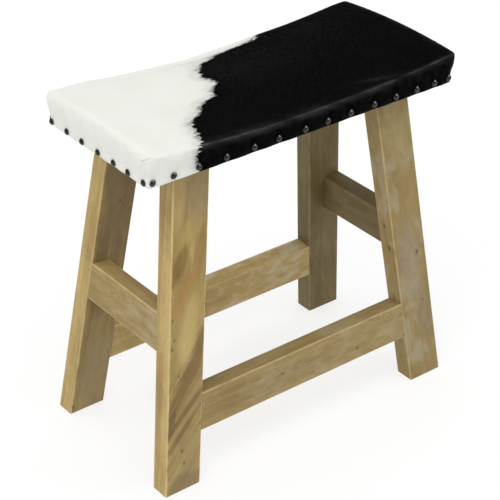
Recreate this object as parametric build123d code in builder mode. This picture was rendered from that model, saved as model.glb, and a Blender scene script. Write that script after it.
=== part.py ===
from build123d import *

import os
from math import atan, cos, sqrt

# Saddle bench: a padded seat covered in short haired hide, on four splayed wooden legs.
# +Z is up and +X runs along the seat. The front is -Y and the left end is -X.
# The origin lies on the floor, midway between the four feet. All lengths are millimetres.

os.makedirs("parts", exist_ok=True)

# Seat, measured over the hide
seat_length = 600.0
seat_width = 274.0
seat_base = 545.0
end_depth = 56.0
saddle_dip = 18.0
crown_rise = 5.0
side_draw = 5.0
end_draw = 3.5
lower_corner_radius = 6.0
upper_corner_radius = 10.0
top_edge_radius = 7.0
bottom_edge_radius = 3.5
hide_thickness = 2.0
hem_width = 22.0
soft_clearance = 0.3

# How far the sides are drawn in at each height, from the nailed edge up to the swell
swell_height_shares = (0.0, 0.27, 0.40, 0.53, 0.70, 1.2)
swell_draw_shares = (1.0, 1.0, 0.70, 0.30, 0.05, 0.0)

# Padding and the wooden frame under it
foam_edge_thickness = 8.0
wadding_base_share = 0.4
deck_thickness = 5.0
rail_thickness = 31.0
rail_clearance = 0.5
centre_bearer_width = 45.0

# Legs
leg_width = 67.0
leg_depth = 35.0
leg_end_setback = 65.0
leg_splay_length = 67.0
leg_splay_width = 57.5
leg_edge_ease = 2.5
foot_chamfer = 1.5

# Stretchers
stretcher_width = 66.0
stretcher_thickness = 33.0
stretcher_recess = 1.0
stretcher_edge_ease = 2.0
end_stretcher_height = 268.5
long_stretcher_height = 124.5

# Dowels between the stretchers and the legs, two at each end
dowel_diameter = 8.0
dowel_length = 40.0
dowel_leg_share = 0.45
dowel_pitch_share = 0.5
dowel_chamfer = 0.8
dowel_end_gap = 0.8

# Screws: one size for the frame and the legs, a smaller one for the deck
frame_screw_diameter = 4.5
frame_screw_length = 60.0
leg_screw_diameter = 5.0
leg_screw_length = 70.0
deck_screw_diameter = 3.5
screw_head_share = 1.9
screw_point_share = 1.2
screw_recess_share = 0.45
bearer_screw_height_share = 0.68
bearer_screw_pitch_share = 0.62
end_rail_screw_height_shares = (0.38, 0.74)
leg_screw_pitch_share = 0.3
deck_screw_bite_share = 0.6
deck_screw_place_shares = (-0.91, -0.455, 0.0, 0.455, 0.91)

# Domed nails round the bottom edge of the hide
nail_head_diameter = 11.0
nail_head_height = 3.2
nail_head_wall = 0.8
nail_shank_diameter = 1.6
nail_length = 12.0
side_nail_height = 9.3
end_nail_height = 6.5
side_nail_place_shares = (
    -0.975, -0.85, -0.70, -0.53, -0.356, -0.20, -0.027,
    0.122, 0.278, 0.44, 0.593, 0.742, 0.871, 0.975,
)
end_nail_place_shares = (-0.90, -0.605, -0.325, -0.015, 0.31, 0.62, 0.94)

# Staples that hold the hem and the dust cover
staple_crown = 10.0
staple_leg = 6.0
staple_wire_width = 1.2
staple_wire_thickness = 0.6
hem_staple_share = 0.4
side_staple_place_shares = (-0.92, -0.69, -0.46, -0.23, 0.0, 0.23, 0.46, 0.69, 0.92)
end_staple_place_shares = (-0.6, -0.2, 0.2, 0.6)

# Dust cover under the seat
dust_cover_thickness = 0.5
dust_cover_overlap = 7.0
dust_cover_leg_gap = 1.0
dust_cover_corner = 12.0

# One overrun for every cutting body
overrun = 20.0


def arc_drop(radius, offset):
    """How far a circle has fallen away from its tangent at a sideways offset."""
    return radius - sqrt(radius**2 - offset**2)


# Curves of the seat: the saddle along X and the crown along Y
half_length = seat_length / 2
half_width = seat_width / 2
saddle_radius = (half_length**2 + saddle_dip**2) / (2 * saddle_dip)
crown_radius = (half_width**2 + crown_rise**2) / (2 * crown_rise)
edge_middle_height = seat_base + end_depth - saddle_dip
saddle_axis_height = edge_middle_height + saddle_radius

# Places that follow from the seat
lower_half_length = half_length - end_draw
lower_half_width = half_width - side_draw
frame_inset = hide_thickness + rail_clearance
frame_half_length = lower_half_length - frame_inset
frame_half_width = lower_half_width - frame_inset
frame_base = seat_base + hide_thickness + soft_clearance
frame_corner_radius = lower_corner_radius - frame_inset
rail_under_radius = bottom_edge_radius - hide_thickness
rail_inner_y = frame_half_width - rail_thickness
end_rail_inner_x = frame_half_length - rail_thickness
deck_top_depth = hide_thickness + foam_edge_thickness + 2 * soft_clearance
deck_under_depth = deck_top_depth + deck_thickness


def saddle_height(depth, x):
    """Height of the surface that lies this depth below the seat's long top edges."""
    return saddle_axis_height - sqrt((saddle_radius + depth) ** 2 - x**2)


# Places that follow for the legs
leg_height = frame_base
head_x = frame_half_length - leg_end_setback - leg_width / 2
head_y = rail_inner_y - leg_depth / 2
foot_x = head_x + leg_splay_length
foot_y = head_y + leg_splay_width
lean_length = leg_splay_length / leg_height
lean_width = leg_splay_width / leg_height


def leg_x(height):
    """Distance of a leg's centre line from the YZ plane at a height."""
    return foot_x - lean_length * height


def leg_y(height):
    """Distance of a leg's centre line from the XZ plane at a height."""
    return foot_y - lean_width * height


def screw(diameter, length, recessed=True):
    """A countersunk wood screw along -Z, its flat head's top at the origin."""
    shank = diameter / 2
    head = shank * screw_head_share
    point = diameter * screw_point_share
    with BuildPart() as body:
        with BuildSketch(Plane.XZ):
            with BuildLine():
                Polyline(
                    (0, 0),
                    (head, 0),
                    (shank, shank - head),
                    (shank, point - length),
                    (0, -length),
                    close=True,
                )
            make_face()
        revolve(axis=Axis.Z)
        if recessed:
            with BuildSketch():
                Rectangle(head, head * screw_recess_share / 2)
                Rectangle(head * screw_recess_share / 2, head)
            extrude(amount=-head * screw_recess_share, mode=Mode.SUBTRACT)
    return body.part


def fasteners(body, planes, label):
    """Copies of one fastener, each set on its own plane, as one group of solids."""
    with BuildPart() as group:
        with Locations(*[Location(plane) for plane in planes]):
            add(body)
    group.part.label = label
    return group.part


def mirror_planes(x, y, z, direction):
    """Planes at the four mirrored places of one point, each with its mirrored direction."""
    planes = []
    for side_x in (-1, 1):
        for side_y in (-1, 1):
            facing = (side_x * direction[0], side_y * direction[1], direction[2])
            planes.append(Plane(origin=(side_x * x, side_y * y, z), z_dir=facing))
    return planes


# Dowels of the stretchers. A place is the point where the dowel crosses the joint.
def stretcher_levels(middle_height, lean):
    """Heights of a leaning stretcher's two dowels."""
    pitch = stretcher_width * dowel_pitch_share / 2
    return [middle_height + side * pitch * cos(atan(lean)) for side in (-1, 1)]


def dowel_body(end_gap):
    """One dowel along +Z. The joint crosses it at the origin, and the leg lies above."""
    in_leg = dowel_length * dowel_leg_share
    with BuildPart() as body:
        with BuildSketch(Plane.XY.offset(in_leg - dowel_length - end_gap)):
            Circle(dowel_diameter / 2)
        extrude(amount=dowel_length + 2 * end_gap)
        if end_gap == 0:
            chamfer(body.edges().filter_by(GeomType.CIRCLE), length=dowel_chamfer)
    return body.part


def long_dowel_planes(side_y):
    """Dowel planes of the front or back stretcher, which meets the legs along X."""
    depth = leg_depth / 2 - stretcher_recess - stretcher_thickness / 2 / cos(atan(lean_width))
    planes = []
    for height in stretcher_levels(long_stretcher_height, lean_width):
        for side_x in (-1, 1):
            x = side_x * (leg_x(height) - leg_width / 2)
            y = side_y * (leg_y(height) + depth)
            planes.append(Plane(origin=(x, y, height), z_dir=(side_x, 0, 0)))
    return planes


def end_dowel_planes(side_x):
    """Dowel planes of the left or right stretcher, which meets the legs along Y."""
    depth = leg_width / 2 - stretcher_recess - stretcher_thickness / 2 / cos(atan(lean_length))
    planes = []
    for height in stretcher_levels(end_stretcher_height, lean_length):
        for side_y in (-1, 1):
            x = side_x * (leg_x(height) + depth)
            y = side_y * (leg_y(height) - leg_depth / 2)
            planes.append(Plane(origin=(x, y, height), z_dir=(0, side_y, 0)))
    return planes


dowel_planes = {
    "front_stretcher": long_dowel_planes(-1),
    "back_stretcher": long_dowel_planes(1),
    "left_end_stretcher": end_dowel_planes(-1),
    "right_end_stretcher": end_dowel_planes(1),
}
dowel = dowel_body(0)
dowel_bore = dowel_body(dowel_end_gap)
dowel_bores = {}
for name, planes in dowel_planes.items():
    dowels = fasteners(dowel, planes, name + "_dowels")
    export_step(dowels, "parts/" + dowels.label + ".step")
    dowel_bores[name] = fasteners(dowel_bore, planes, name + "_bores")

# Bearers: two carry the legs and one carries the middle of the deck
leg_bearer_inner_x = head_x - leg_width / 2
leg_bearer_height = saddle_height(deck_under_depth, leg_bearer_inner_x) - frame_base
rail_middle_height = saddle_height(deck_under_depth, 0) - frame_base
rail_end_height = saddle_height(deck_under_depth, end_rail_inner_x) - frame_base

# Screws through the long rails into the end rails and the bearers
frame_screw_planes = []
for share in end_rail_screw_height_shares:
    x = frame_half_length - rail_thickness / 2
    z = frame_base + rail_end_height * share
    frame_screw_planes += mirror_planes(x, frame_half_width, z, (0, 1, 0))
for side in (-1, 1):
    x = head_x + side * bearer_screw_pitch_share * leg_width / 2
    z = frame_base + leg_bearer_height * bearer_screw_height_share
    frame_screw_planes += mirror_planes(x, frame_half_width, z, (0, 1, 0))
x = bearer_screw_pitch_share * centre_bearer_width / 2
z = frame_base + rail_middle_height * bearer_screw_height_share
frame_screw_planes += mirror_planes(x, frame_half_width, z, (0, 1, 0))
frame_screw = screw(frame_screw_diameter, frame_screw_length)
frame_screws = fasteners(frame_screw, frame_screw_planes, "frame_screws")
export_step(frame_screws, "parts/frame_screws.step")
frame_screw_bore = screw(frame_screw_diameter, frame_screw_length, recessed=False)
frame_screw_bores = fasteners(frame_screw_bore, frame_screw_planes, "frame_screw_bores")

# Screws down through the leg bearers into the heads of the legs
leg_screw_planes = []
for side in (-1, 1):
    x = head_x + side * leg_screw_pitch_share * leg_width / 2
    z = frame_base + leg_bearer_height
    leg_screw_planes += mirror_planes(x, head_y, z, (0, 0, 1))
leg_screw = screw(leg_screw_diameter, leg_screw_length)
leg_screws = fasteners(leg_screw, leg_screw_planes, "leg_screws")
export_step(leg_screws, "parts/leg_screws.step")
leg_screw_bore = screw(leg_screw_diameter, leg_screw_length, recessed=False)
leg_screw_bores = fasteners(leg_screw_bore, leg_screw_planes, "leg_screw_bores")

# Screws through the deck into the long rails, square to the bent deck
deck_screw_length = deck_thickness + deck_screw_bite_share * rail_middle_height
deck_screw_planes = []
for share in deck_screw_place_shares:
    x = share * frame_half_length
    z = saddle_height(deck_top_depth, x)
    for side_y in (-1, 1):
        y = side_y * (frame_half_width - rail_thickness / 2)
        deck_screw_planes.append(Plane(origin=(x, y, z), z_dir=(-x, 0, saddle_axis_height - z)))
deck_screw = screw(deck_screw_diameter, deck_screw_length)
deck_screws = fasteners(deck_screw, deck_screw_planes, "deck_screws")
export_step(deck_screws, "parts/deck_screws.step")
deck_screw_bore = screw(deck_screw_diameter, deck_screw_length, recessed=False)
deck_screw_bores = fasteners(deck_screw_bore, deck_screw_planes, "deck_screw_bores")


# Domed nails round the bottom edge
def cap_height(radius, height, offset):
    """Height of a spherical cap of this rim radius and height, at an offset from its axis."""
    sphere = (radius**2 + height**2) / (2 * height)
    return height - arc_drop(sphere, offset)


def domed_nail():
    """A nail along -Z with a hollow domed head. The rim lies in the XY plane."""
    rim = nail_head_diameter / 2
    inner = rim - nail_head_wall
    inner_height = nail_head_height - nail_head_wall
    shank = nail_shank_diameter / 2
    point = nail_shank_diameter * screw_point_share
    shoulder = cap_height(inner, inner_height, shank)
    with BuildPart() as body:
        with BuildSketch(Plane.XZ):
            with BuildLine():
                ThreePointArc(
                    (0, nail_head_height),
                    (rim / 2, cap_height(rim, nail_head_height, rim / 2)),
                    (rim, 0),
                )
                Line((rim, 0), (inner, 0))
                ThreePointArc(
                    (inner, 0),
                    (inner / 2, cap_height(inner, inner_height, inner / 2)),
                    (shank, shoulder),
                )
                Polyline(
                    (shank, shoulder),
                    (shank, point - nail_length),
                    (0, -nail_length),
                    (0, nail_head_height),
                )
            make_face()
        revolve(axis=Axis.Z)
    return body.part


def side_nail_planes(side_y):
    """Planes of the nails along the front or the back, just clear of the hide."""
    y = side_y * (lower_half_width + soft_clearance)
    z = seat_base + side_nail_height
    places = [-side_y * share * lower_half_length for share in side_nail_place_shares]
    return [Plane(origin=(x, y, z), z_dir=(0, side_y, 0)) for x in places]


def end_nail_planes(side_x):
    """Planes of the nails along the left or the right end, just clear of the hide."""
    x = side_x * (lower_half_length + soft_clearance)
    z = seat_base + end_nail_height
    places = [-side_x * share * lower_half_width for share in end_nail_place_shares]
    return [Plane(origin=(x, y, z), z_dir=(side_x, 0, 0)) for y in places]


nail = domed_nail()
cover_nails = [
    fasteners(nail, side_nail_planes(-1), "cover_nails_front"),
    fasteners(nail, side_nail_planes(1), "cover_nails_back"),
    fasteners(nail, end_nail_planes(-1), "cover_nails_left"),
    fasteners(nail, end_nail_planes(1), "cover_nails_right"),
]
for row in cover_nails:
    export_step(row, "parts/" + row.label + ".step")


# Staples under the seat
def staple_body():
    """A wire staple whose legs point up. The top of its crown lies in the XY plane."""
    reach = staple_leg - staple_wire_thickness
    with BuildPart() as body:
        with BuildSketch():
            Rectangle(staple_crown, staple_wire_width)
        extrude(amount=-staple_wire_thickness)
        with BuildSketch():
            with Locations(
                ((staple_wire_thickness - staple_crown) / 2, 0),
                ((staple_crown - staple_wire_thickness) / 2, 0),
            ):
                Rectangle(staple_wire_thickness, staple_wire_width)
        extrude(amount=reach)
    return body.part


def staple_planes(line_x, line_y, height):
    """Planes of the staples along a rectangle of these half sizes, crowns along its sides."""
    planes = []
    for side in (-1, 1):
        for share in side_staple_place_shares:
            place = (share * line_x, side * line_y, height)
            planes.append(Plane(origin=place, x_dir=(1, 0, 0), z_dir=(0, 0, 1)))
        for share in end_staple_place_shares:
            place = (side * line_x, share * line_y, height)
            planes.append(Plane(origin=place, x_dir=(0, 1, 0), z_dir=(0, 0, 1)))
    return planes


hem_staple_inset = hem_width * hem_staple_share
hem_staple_planes = staple_planes(
    lower_half_length - hem_staple_inset,
    lower_half_width - hem_staple_inset,
    seat_base,
)
hem_staples = fasteners(staple_body(), hem_staple_planes, "hem_staples")
export_step(hem_staples, "parts/hem_staples.step")

dust_cover_top = seat_base - soft_clearance
dust_cover_half_length = lower_half_length - hem_width + dust_cover_overlap
dust_cover_half_width = lower_half_width - hem_width + dust_cover_overlap
dust_staple_planes = staple_planes(
    dust_cover_half_length - dust_cover_overlap / 2,
    dust_cover_half_width - dust_cover_overlap / 2,
    dust_cover_top - dust_cover_thickness,
)
dust_cover_staples = fasteners(staple_body(), dust_staple_planes, "dust_cover_staples")
export_step(dust_cover_staples, "parts/dust_cover_staples.step")

# Long rails on edge, with their tops cut to the saddle
for label, side_y, nails in (
    ("seat_front_rail", -1, cover_nails[0]),
    ("seat_back_rail", 1, cover_nails[1]),
):
    middle_y = side_y * (frame_half_width - rail_thickness / 2)
    end_height = saddle_height(deck_under_depth, frame_half_length)
    with BuildPart() as rail:
        with BuildSketch(Plane.XZ.offset(-middle_y)):
            with BuildLine():
                Polyline(
                    (-frame_half_length, end_height),
                    (-frame_half_length, frame_base),
                    (frame_half_length, frame_base),
                    (frame_half_length, end_height),
                )
                ThreePointArc(
                    (-frame_half_length, end_height),
                    (0, saddle_height(deck_under_depth, 0)),
                    (frame_half_length, end_height),
                )
            make_face()
        extrude(amount=rail_thickness / 2, both=True)
        corners = rail.edges().filter_by(Axis.Z).sort_by(Axis.Y)
        fillet(corners[:2] if side_y < 0 else corners[-2:], frame_corner_radius)
        under_edges = rail.faces().sort_by(Axis.Z)[0].edges().sort_by(Axis.Y)
        fillet(under_edges[:-1] if side_y < 0 else under_edges[1:], rail_under_radius)
        for group in (frame_screw_bores, deck_screw_bores, nails, cover_nails[2], cover_nails[3]):
            add(group, mode=Mode.SUBTRACT)
        for group in (hem_staples, dust_cover_staples):
            add(group, mode=Mode.SUBTRACT)
    rail.part.label = label
    export_step(rail.part, "parts/" + label + ".step")

# End rails on edge, between the long rails
for label, side_x, nails in (
    ("seat_left_rail", -1, cover_nails[2]),
    ("seat_right_rail", 1, cover_nails[3]),
):
    top_line = [
        (side_x * x, saddle_height(deck_under_depth, x))
        for x in (end_rail_inner_x, frame_half_length - rail_thickness / 2, frame_half_length)
    ]
    with BuildPart() as rail:
        with BuildSketch(Plane.XZ):
            with BuildLine():
                ThreePointArc(*top_line)
                Polyline(
                    top_line[0],
                    (side_x * end_rail_inner_x, frame_base),
                    (side_x * frame_half_length, frame_base),
                    top_line[-1],
                )
            make_face()
        extrude(amount=rail_inner_y, both=True)
        under_edges = rail.faces().sort_by(Axis.Z)[0].edges().filter_by(Axis.Y).sort_by(Axis.X)
        fillet(under_edges[0] if side_x < 0 else under_edges[-1], rail_under_radius)
        for group in (frame_screw_bores, nails, hem_staples, dust_cover_staples):
            add(group, mode=Mode.SUBTRACT)
    rail.part.label = label
    export_step(rail.part, "parts/" + label + ".step")

# Bearers across the frame
for label, middle_x, width, height in (
    ("left_leg_bearer", -head_x, leg_width, leg_bearer_height),
    ("right_leg_bearer", head_x, leg_width, leg_bearer_height),
    ("centre_bearer", 0, centre_bearer_width, rail_middle_height),
):
    with BuildPart() as bearer:
        with BuildSketch(Plane.XY.offset(frame_base)):
            with Locations((middle_x, 0)):
                Rectangle(width, 2 * rail_inner_y)
        extrude(amount=height)
        add(frame_screw_bores, mode=Mode.SUBTRACT)
        add(leg_screw_bores, mode=Mode.SUBTRACT)
    bearer.part.label = label
    export_step(bearer.part, "parts/" + label + ".step")

# Legs: straight stock cut level at the foot and at the head
for label, side_x, side_y in (
    ("leg_front_left", -1, -1),
    ("leg_front_right", 1, -1),
    ("leg_back_left", -1, 1),
    ("leg_back_right", 1, 1),
):
    climb = Vector(-side_x * leg_splay_length, -side_y * leg_splay_width, leg_height)
    long_name = "front_stretcher" if side_y < 0 else "back_stretcher"
    end_name = "left_end_stretcher" if side_x < 0 else "right_end_stretcher"
    with BuildPart() as leg:
        with BuildSketch():
            with Locations((side_x * foot_x, side_y * foot_y)):
                Rectangle(leg_width, leg_depth)
        extrude(amount=climb.length, dir=climb)
        fillet(leg.edges().filter_by(Axis((0, 0, 0), climb)), leg_edge_ease)
        chamfer(leg.faces().sort_by(Axis.Z)[0].edges(), length=foot_chamfer)
        add(dowel_bores[long_name], mode=Mode.SUBTRACT)
        add(dowel_bores[end_name], mode=Mode.SUBTRACT)
        add(leg_screw_bores, mode=Mode.SUBTRACT)
    leg.part.label = label
    export_step(leg.part, "parts/" + label + ".step")

# Long stretchers lean with the legs and end on their inner faces
for label, side_y in (("front_stretcher", -1), ("back_stretcher", 1)):
    face_y = side_y * (leg_y(long_stretcher_height) + leg_depth / 2 - stretcher_recess)
    face = Plane(
        origin=(0, face_y, long_stretcher_height),
        x_dir=(1, 0, 0),
        z_dir=(0, side_y, lean_width),
    )
    joint_x = leg_x(long_stretcher_height) - leg_width / 2
    with BuildPart() as stretcher:
        with BuildSketch(face):
            Rectangle(2 * (joint_x + overrun), stretcher_width)
        extrude(amount=-stretcher_thickness)
        fillet(stretcher.edges().filter_by(Axis.X), stretcher_edge_ease)
        for side_x in (-1, 1):
            joint = Plane(
                origin=(side_x * joint_x, 0, long_stretcher_height),
                x_dir=(0, 1, 0),
                z_dir=(side_x, 0, lean_length),
            )
            split(bisect_by=joint, keep=Keep.BOTTOM)
        add(dowel_bores[label], mode=Mode.SUBTRACT)
    stretcher.part.label = label
    export_step(stretcher.part, "parts/" + label + ".step")

# End stretchers lean with the legs and end on their facing sides
for label, side_x in (("left_end_stretcher", -1), ("right_end_stretcher", 1)):
    face_x = side_x * (leg_x(end_stretcher_height) + leg_width / 2 - stretcher_recess)
    face = Plane(
        origin=(face_x, 0, end_stretcher_height),
        x_dir=(0, 1, 0),
        z_dir=(side_x, 0, lean_length),
    )
    joint_y = leg_y(end_stretcher_height) - leg_depth / 2
    with BuildPart() as stretcher:
        with BuildSketch(face):
            Rectangle(2 * (joint_y + overrun), stretcher_width)
        extrude(amount=-stretcher_thickness)
        fillet(stretcher.edges().filter_by(Axis.Y), stretcher_edge_ease)
        for side_y in (-1, 1):
            joint = Plane(
                origin=(0, side_y * joint_y, end_stretcher_height),
                x_dir=(1, 0, 0),
                z_dir=(0, side_y, lean_width),
            )
            split(bisect_by=joint, keep=Keep.BOTTOM)
        add(dowel_bores[label], mode=Mode.SUBTRACT)
    stretcher.part.label = label
    export_step(stretcher.part, "parts/" + label + ".step")


def saddle_slab(half_x, half_y, top_depth, bottom_height):
    """A block under the saddle, from a flat bottom up to this depth below the top edges."""
    end_height = saddle_height(top_depth, half_x)
    with BuildPart() as slab:
        with BuildSketch(Plane.XZ):
            with BuildLine():
                Polyline(
                    (-half_x, end_height),
                    (-half_x, bottom_height),
                    (half_x, bottom_height),
                    (half_x, end_height),
                )
                ThreePointArc(
                    (-half_x, end_height),
                    (0, saddle_height(top_depth, 0)),
                    (half_x, end_height),
                )
            make_face()
        extrude(amount=half_y, both=True)
    return slab.part


# Deck: thin plywood bent over the rails
deck_slab = saddle_slab(frame_half_length, frame_half_width, deck_top_depth, frame_base)
under_deck = saddle_slab(
    frame_half_length + overrun,
    frame_half_width + overrun,
    deck_under_depth,
    frame_base - overrun,
)
with BuildPart() as seat_deck:
    add(deck_slab)
    add(under_deck, mode=Mode.SUBTRACT)
    fillet(seat_deck.edges().filter_by(Axis.Z), frame_corner_radius)
    add(deck_screw_bores, mode=Mode.SUBTRACT)
seat_deck.part.label = "seat_deck"
export_step(seat_deck.part, "parts/seat_deck.step")


def pad_form(inset):
    """The covered seat's form: swelling sides, saddle and crown, drawn in by an inset."""
    with BuildPart() as form:
        for height_share, draw_share in zip(swell_height_shares, swell_draw_shares):
            rise = max(end_depth * height_share, inset)
            half_x = half_length - end_draw * draw_share - inset
            half_y = half_width - side_draw * draw_share - inset
            corner = upper_corner_radius + (lower_corner_radius - upper_corner_radius) * draw_share
            with BuildSketch(Plane.XY.offset(seat_base + rise)):
                RectangleRounded(2 * half_x, 2 * half_y, corner - inset)
        loft()
        # The cutter turns about the saddle's axis. It is drawn above that axis, so that
        # its seam stays away from the seat.
        edge_y = half_width + overrun
        top = saddle_axis_height + saddle_radius + inset - crown_rise
        edge = top + arc_drop(crown_radius, edge_y)
        with BuildSketch(Plane.YZ):
            with BuildLine():
                ThreePointArc((-edge_y, edge), (0, top), (edge_y, edge))
                Polyline(
                    (edge_y, edge),
                    (edge_y, top - end_depth),
                    (-edge_y, top - end_depth),
                    (-edge_y, edge),
                )
            make_face()
        revolve(axis=Axis((0, 0, saddle_axis_height), (0, 1, 0)), mode=Mode.SUBTRACT)
        fillet(form.faces().sort_by(Axis.Z)[-1].edges(), top_edge_radius - inset)
        fillet(form.faces().sort_by(Axis.Z)[0].edges(), bottom_edge_radius - inset)
    return form.part


outer_form = pad_form(0)
hide_cavity = pad_form(hide_thickness)
foam_form = pad_form(hide_thickness + soft_clearance)

# Foam: a pad over the deck, out to the hide all round
pad_underside = saddle_slab(
    half_length + overrun,
    half_width + overrun,
    deck_top_depth - soft_clearance,
    seat_base - overrun,
)
with BuildPart() as seat_foam:
    add(foam_form)
    add(pad_underside, mode=Mode.SUBTRACT)
seat_foam.part.label = "seat_foam"
export_step(seat_foam.part, "parts/seat_foam.step")

# Wadding: a strip round the frame's sides that fills the hide's swell below the foam
wadding_band = saddle_slab(
    half_length + overrun,
    half_width + overrun,
    deck_top_depth,
    seat_base + end_depth * wadding_base_share,
)
frame_clearance_form = saddle_slab(
    frame_half_length + soft_clearance,
    frame_half_width + soft_clearance,
    deck_top_depth - soft_clearance,
    seat_base - overrun,
)
with BuildPart() as side_wadding:
    add(foam_form)
    add(wadding_band, mode=Mode.INTERSECT)
    add(frame_clearance_form, mode=Mode.SUBTRACT)
side_wadding.part.label = "side_wadding"
export_step(side_wadding.part, "parts/side_wadding.step")

# Hide: one shell over the foam, nailed round its lower edge and turned under as a hem
with BuildPart() as cowhide_cover:
    add(outer_form)
    add(hide_cavity, mode=Mode.SUBTRACT)
    with BuildSketch(Plane.XY.offset(seat_base - overrun)):
        RectangleRounded(
            2 * (lower_half_length - hem_width),
            2 * (lower_half_width - hem_width),
            lower_corner_radius,
        )
    extrude(amount=overrun + 2 * hide_thickness, mode=Mode.SUBTRACT)
    for group in cover_nails:
        add(group, mode=Mode.SUBTRACT)
    add(hem_staples, mode=Mode.SUBTRACT)
    add(dust_cover_staples, mode=Mode.SUBTRACT)
cowhide_cover.part.label = "cowhide_cover"
export_step(cowhide_cover.part, "parts/cowhide_cover.step")

# Dust cover: thin cloth under the seat, cut out round the legs
cut_height = dust_cover_top - dust_cover_thickness / 2
with BuildPart() as dust_cover:
    with BuildSketch(Plane.XY.offset(dust_cover_top - dust_cover_thickness)):
        RectangleRounded(2 * dust_cover_half_length, 2 * dust_cover_half_width, dust_cover_corner)
        with GridLocations(2 * leg_x(cut_height), 2 * leg_y(cut_height), 2, 2):
            Rectangle(
                leg_width + 2 * dust_cover_leg_gap,
                leg_depth + 2 * dust_cover_leg_gap,
                mode=Mode.SUBTRACT,
            )
    extrude(amount=dust_cover_thickness)
    add(dust_cover_staples, mode=Mode.SUBTRACT)
dust_cover.part.label = "dust_cover"
export_step(dust_cover.part, "parts/dust_cover.step")

print("seat", seat_length, seat_width, "top edge", seat_base + end_depth, edge_middle_height)
print("feet", 2 * foot_x + leg_width, 2 * foot_y + leg_depth)
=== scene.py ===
"""Saddle bench with a nailed cowhide seat: its visual model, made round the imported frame.

Lengths inside the shape functions are millimetres in the bench's own frame: +X runs along
the seat, the front is -Y, and the floor is Z = 0. Meshes are written in metres.
"""

import math

import bpy
import numpy as np
from bpy.props import FloatProperty, FloatVectorProperty, IntProperty, PointerProperty
from mathutils import Matrix, Vector


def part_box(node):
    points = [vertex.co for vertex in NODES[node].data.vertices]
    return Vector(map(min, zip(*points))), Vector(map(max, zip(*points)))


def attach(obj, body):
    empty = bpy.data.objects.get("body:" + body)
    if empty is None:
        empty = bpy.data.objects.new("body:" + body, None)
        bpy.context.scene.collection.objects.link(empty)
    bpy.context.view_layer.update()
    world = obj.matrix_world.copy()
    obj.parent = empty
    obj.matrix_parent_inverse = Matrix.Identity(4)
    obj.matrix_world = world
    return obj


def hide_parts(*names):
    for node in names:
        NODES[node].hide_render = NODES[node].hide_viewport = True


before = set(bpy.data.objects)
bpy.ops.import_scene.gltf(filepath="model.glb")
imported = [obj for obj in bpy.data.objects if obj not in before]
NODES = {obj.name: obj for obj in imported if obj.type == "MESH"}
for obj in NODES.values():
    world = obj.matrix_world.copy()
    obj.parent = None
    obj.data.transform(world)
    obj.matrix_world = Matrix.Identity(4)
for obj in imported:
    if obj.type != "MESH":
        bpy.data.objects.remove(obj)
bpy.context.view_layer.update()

bl_info = {
    "name": "Cowhide Saddle Bench",
    "version": (1, 0, 0),
    "blender": (4, 5, 0),
    "location": "3D View > Sidebar > Bench",
    "description": "Hide, hair, padding, wood and fixings of a saddle bench",
    "category": "Object",
}

MM = 0.001
COVER_LOW, COVER_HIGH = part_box("cowhide_cover")
TINY = 1e-9

# The covered seat, as the frame has it
SEAT_HALF_LENGTH = COVER_HIGH.x / MM
SEAT_HALF_WIDTH = COVER_HIGH.y / MM
SEAT_BASE = COVER_LOW.z / MM
END_DEPTH = 56.0
SADDLE_DIP = 18.0
CROWN_RISE = 5.0
SIDE_DRAW = 5.0
END_DRAW = 3.5
SWELL_HEIGHTS = np.array((0.0, 0.27, 0.40, 0.53, 0.70, 1.2)) * END_DEPTH
SWELL_DRAWS = np.array((1.0, 1.0, 0.70, 0.30, 0.05, 0.0))
HEM_WIDTH = 22.0
SADDLE_RADIUS = (SEAT_HALF_LENGTH**2 + SADDLE_DIP**2) / (2 * SADDLE_DIP)
EDGE_MIDDLE = SEAT_BASE + END_DEPTH - SADDLE_DIP

# Domed nails: places along each side, as shares of the drawn-in half length or half width
SIDE_NAIL_SHARES = np.array(
    (-0.975, -0.85, -0.70, -0.53, -0.356, -0.20, -0.027,
     0.122, 0.278, 0.44, 0.593, 0.742, 0.871, 0.975)
)
END_NAIL_SHARES = np.array((-0.90, -0.605, -0.325, -0.015, 0.31, 0.62, 0.94))
SIDE_NAIL_HEIGHT = 9.3
END_NAIL_HEIGHT = 6.5
# Reach of the dimple round a nail, and the bare ring that the hair leaves round its centre
NAIL_DIMPLE_REACH = 8.0
NAIL_BARE_RADIUS = 5.6

# Legs: centres of the feet, splay over the height of the leg heads, and the stock
FOOT_X, FOOT_Y = 262.5, 138.5
LEG_HEAD_HEIGHT = 547.3
LEAN_LENGTH = 67.0 / LEG_HEAD_HEIGHT
LEAN_WIDTH = 57.5 / LEG_HEAD_HEIGHT
LEG_WIDTH, LEG_DEPTH = 67.0, 35.0
STRETCHER_WIDTH, STRETCHER_THICKNESS = 66.0, 33.0
LEG_OF = {
    (-1, -1): "leg_front_left",
    (1, -1): "leg_front_right",
    (-1, 1): "leg_back_left",
    (1, 1): "leg_back_right",
}

# Dust cover: how far it stays inside the seat, and its cut-outs for the legs
DUST_INSET_X, DUST_INSET_Y = 18.5, 20.0
DUST_HOLE_X, DUST_HOLE_Y = 69.0, 37.0

# The hide's map: its side and its middle in millimetres, and where the flesh side goes
UV_NAME = "OFBake"
MAP_SIDE = 776.0
MAP_CENTRE = (388.0, 218.0)
INNER_SHARE = 0.74
INNER_START = 0.585

# Distance from the hair colours' edge given to the ends, which the edge doesn't cross
FAR_BLACK = 150.0
FAR_WHITE = -90.0

# Hair: tufts for each square millimetre, the colour of the painted sheen, a highlight laid into the
# black hair's colour, and the steps of that sheen
HAIR_DENSITY = 0.42
SHEEN_PAINT_COLOUR = (0.022, 0.0215, 0.0205)
SHEEN_BANDS = 6
HAIR_SPECULAR = 0.02
SHEEN_COAT = 0.28
COAT_ROUGHNESS = 0.34

# Frames that the hide's cloth is run for
CLOTH_FRAMES = 20

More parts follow.
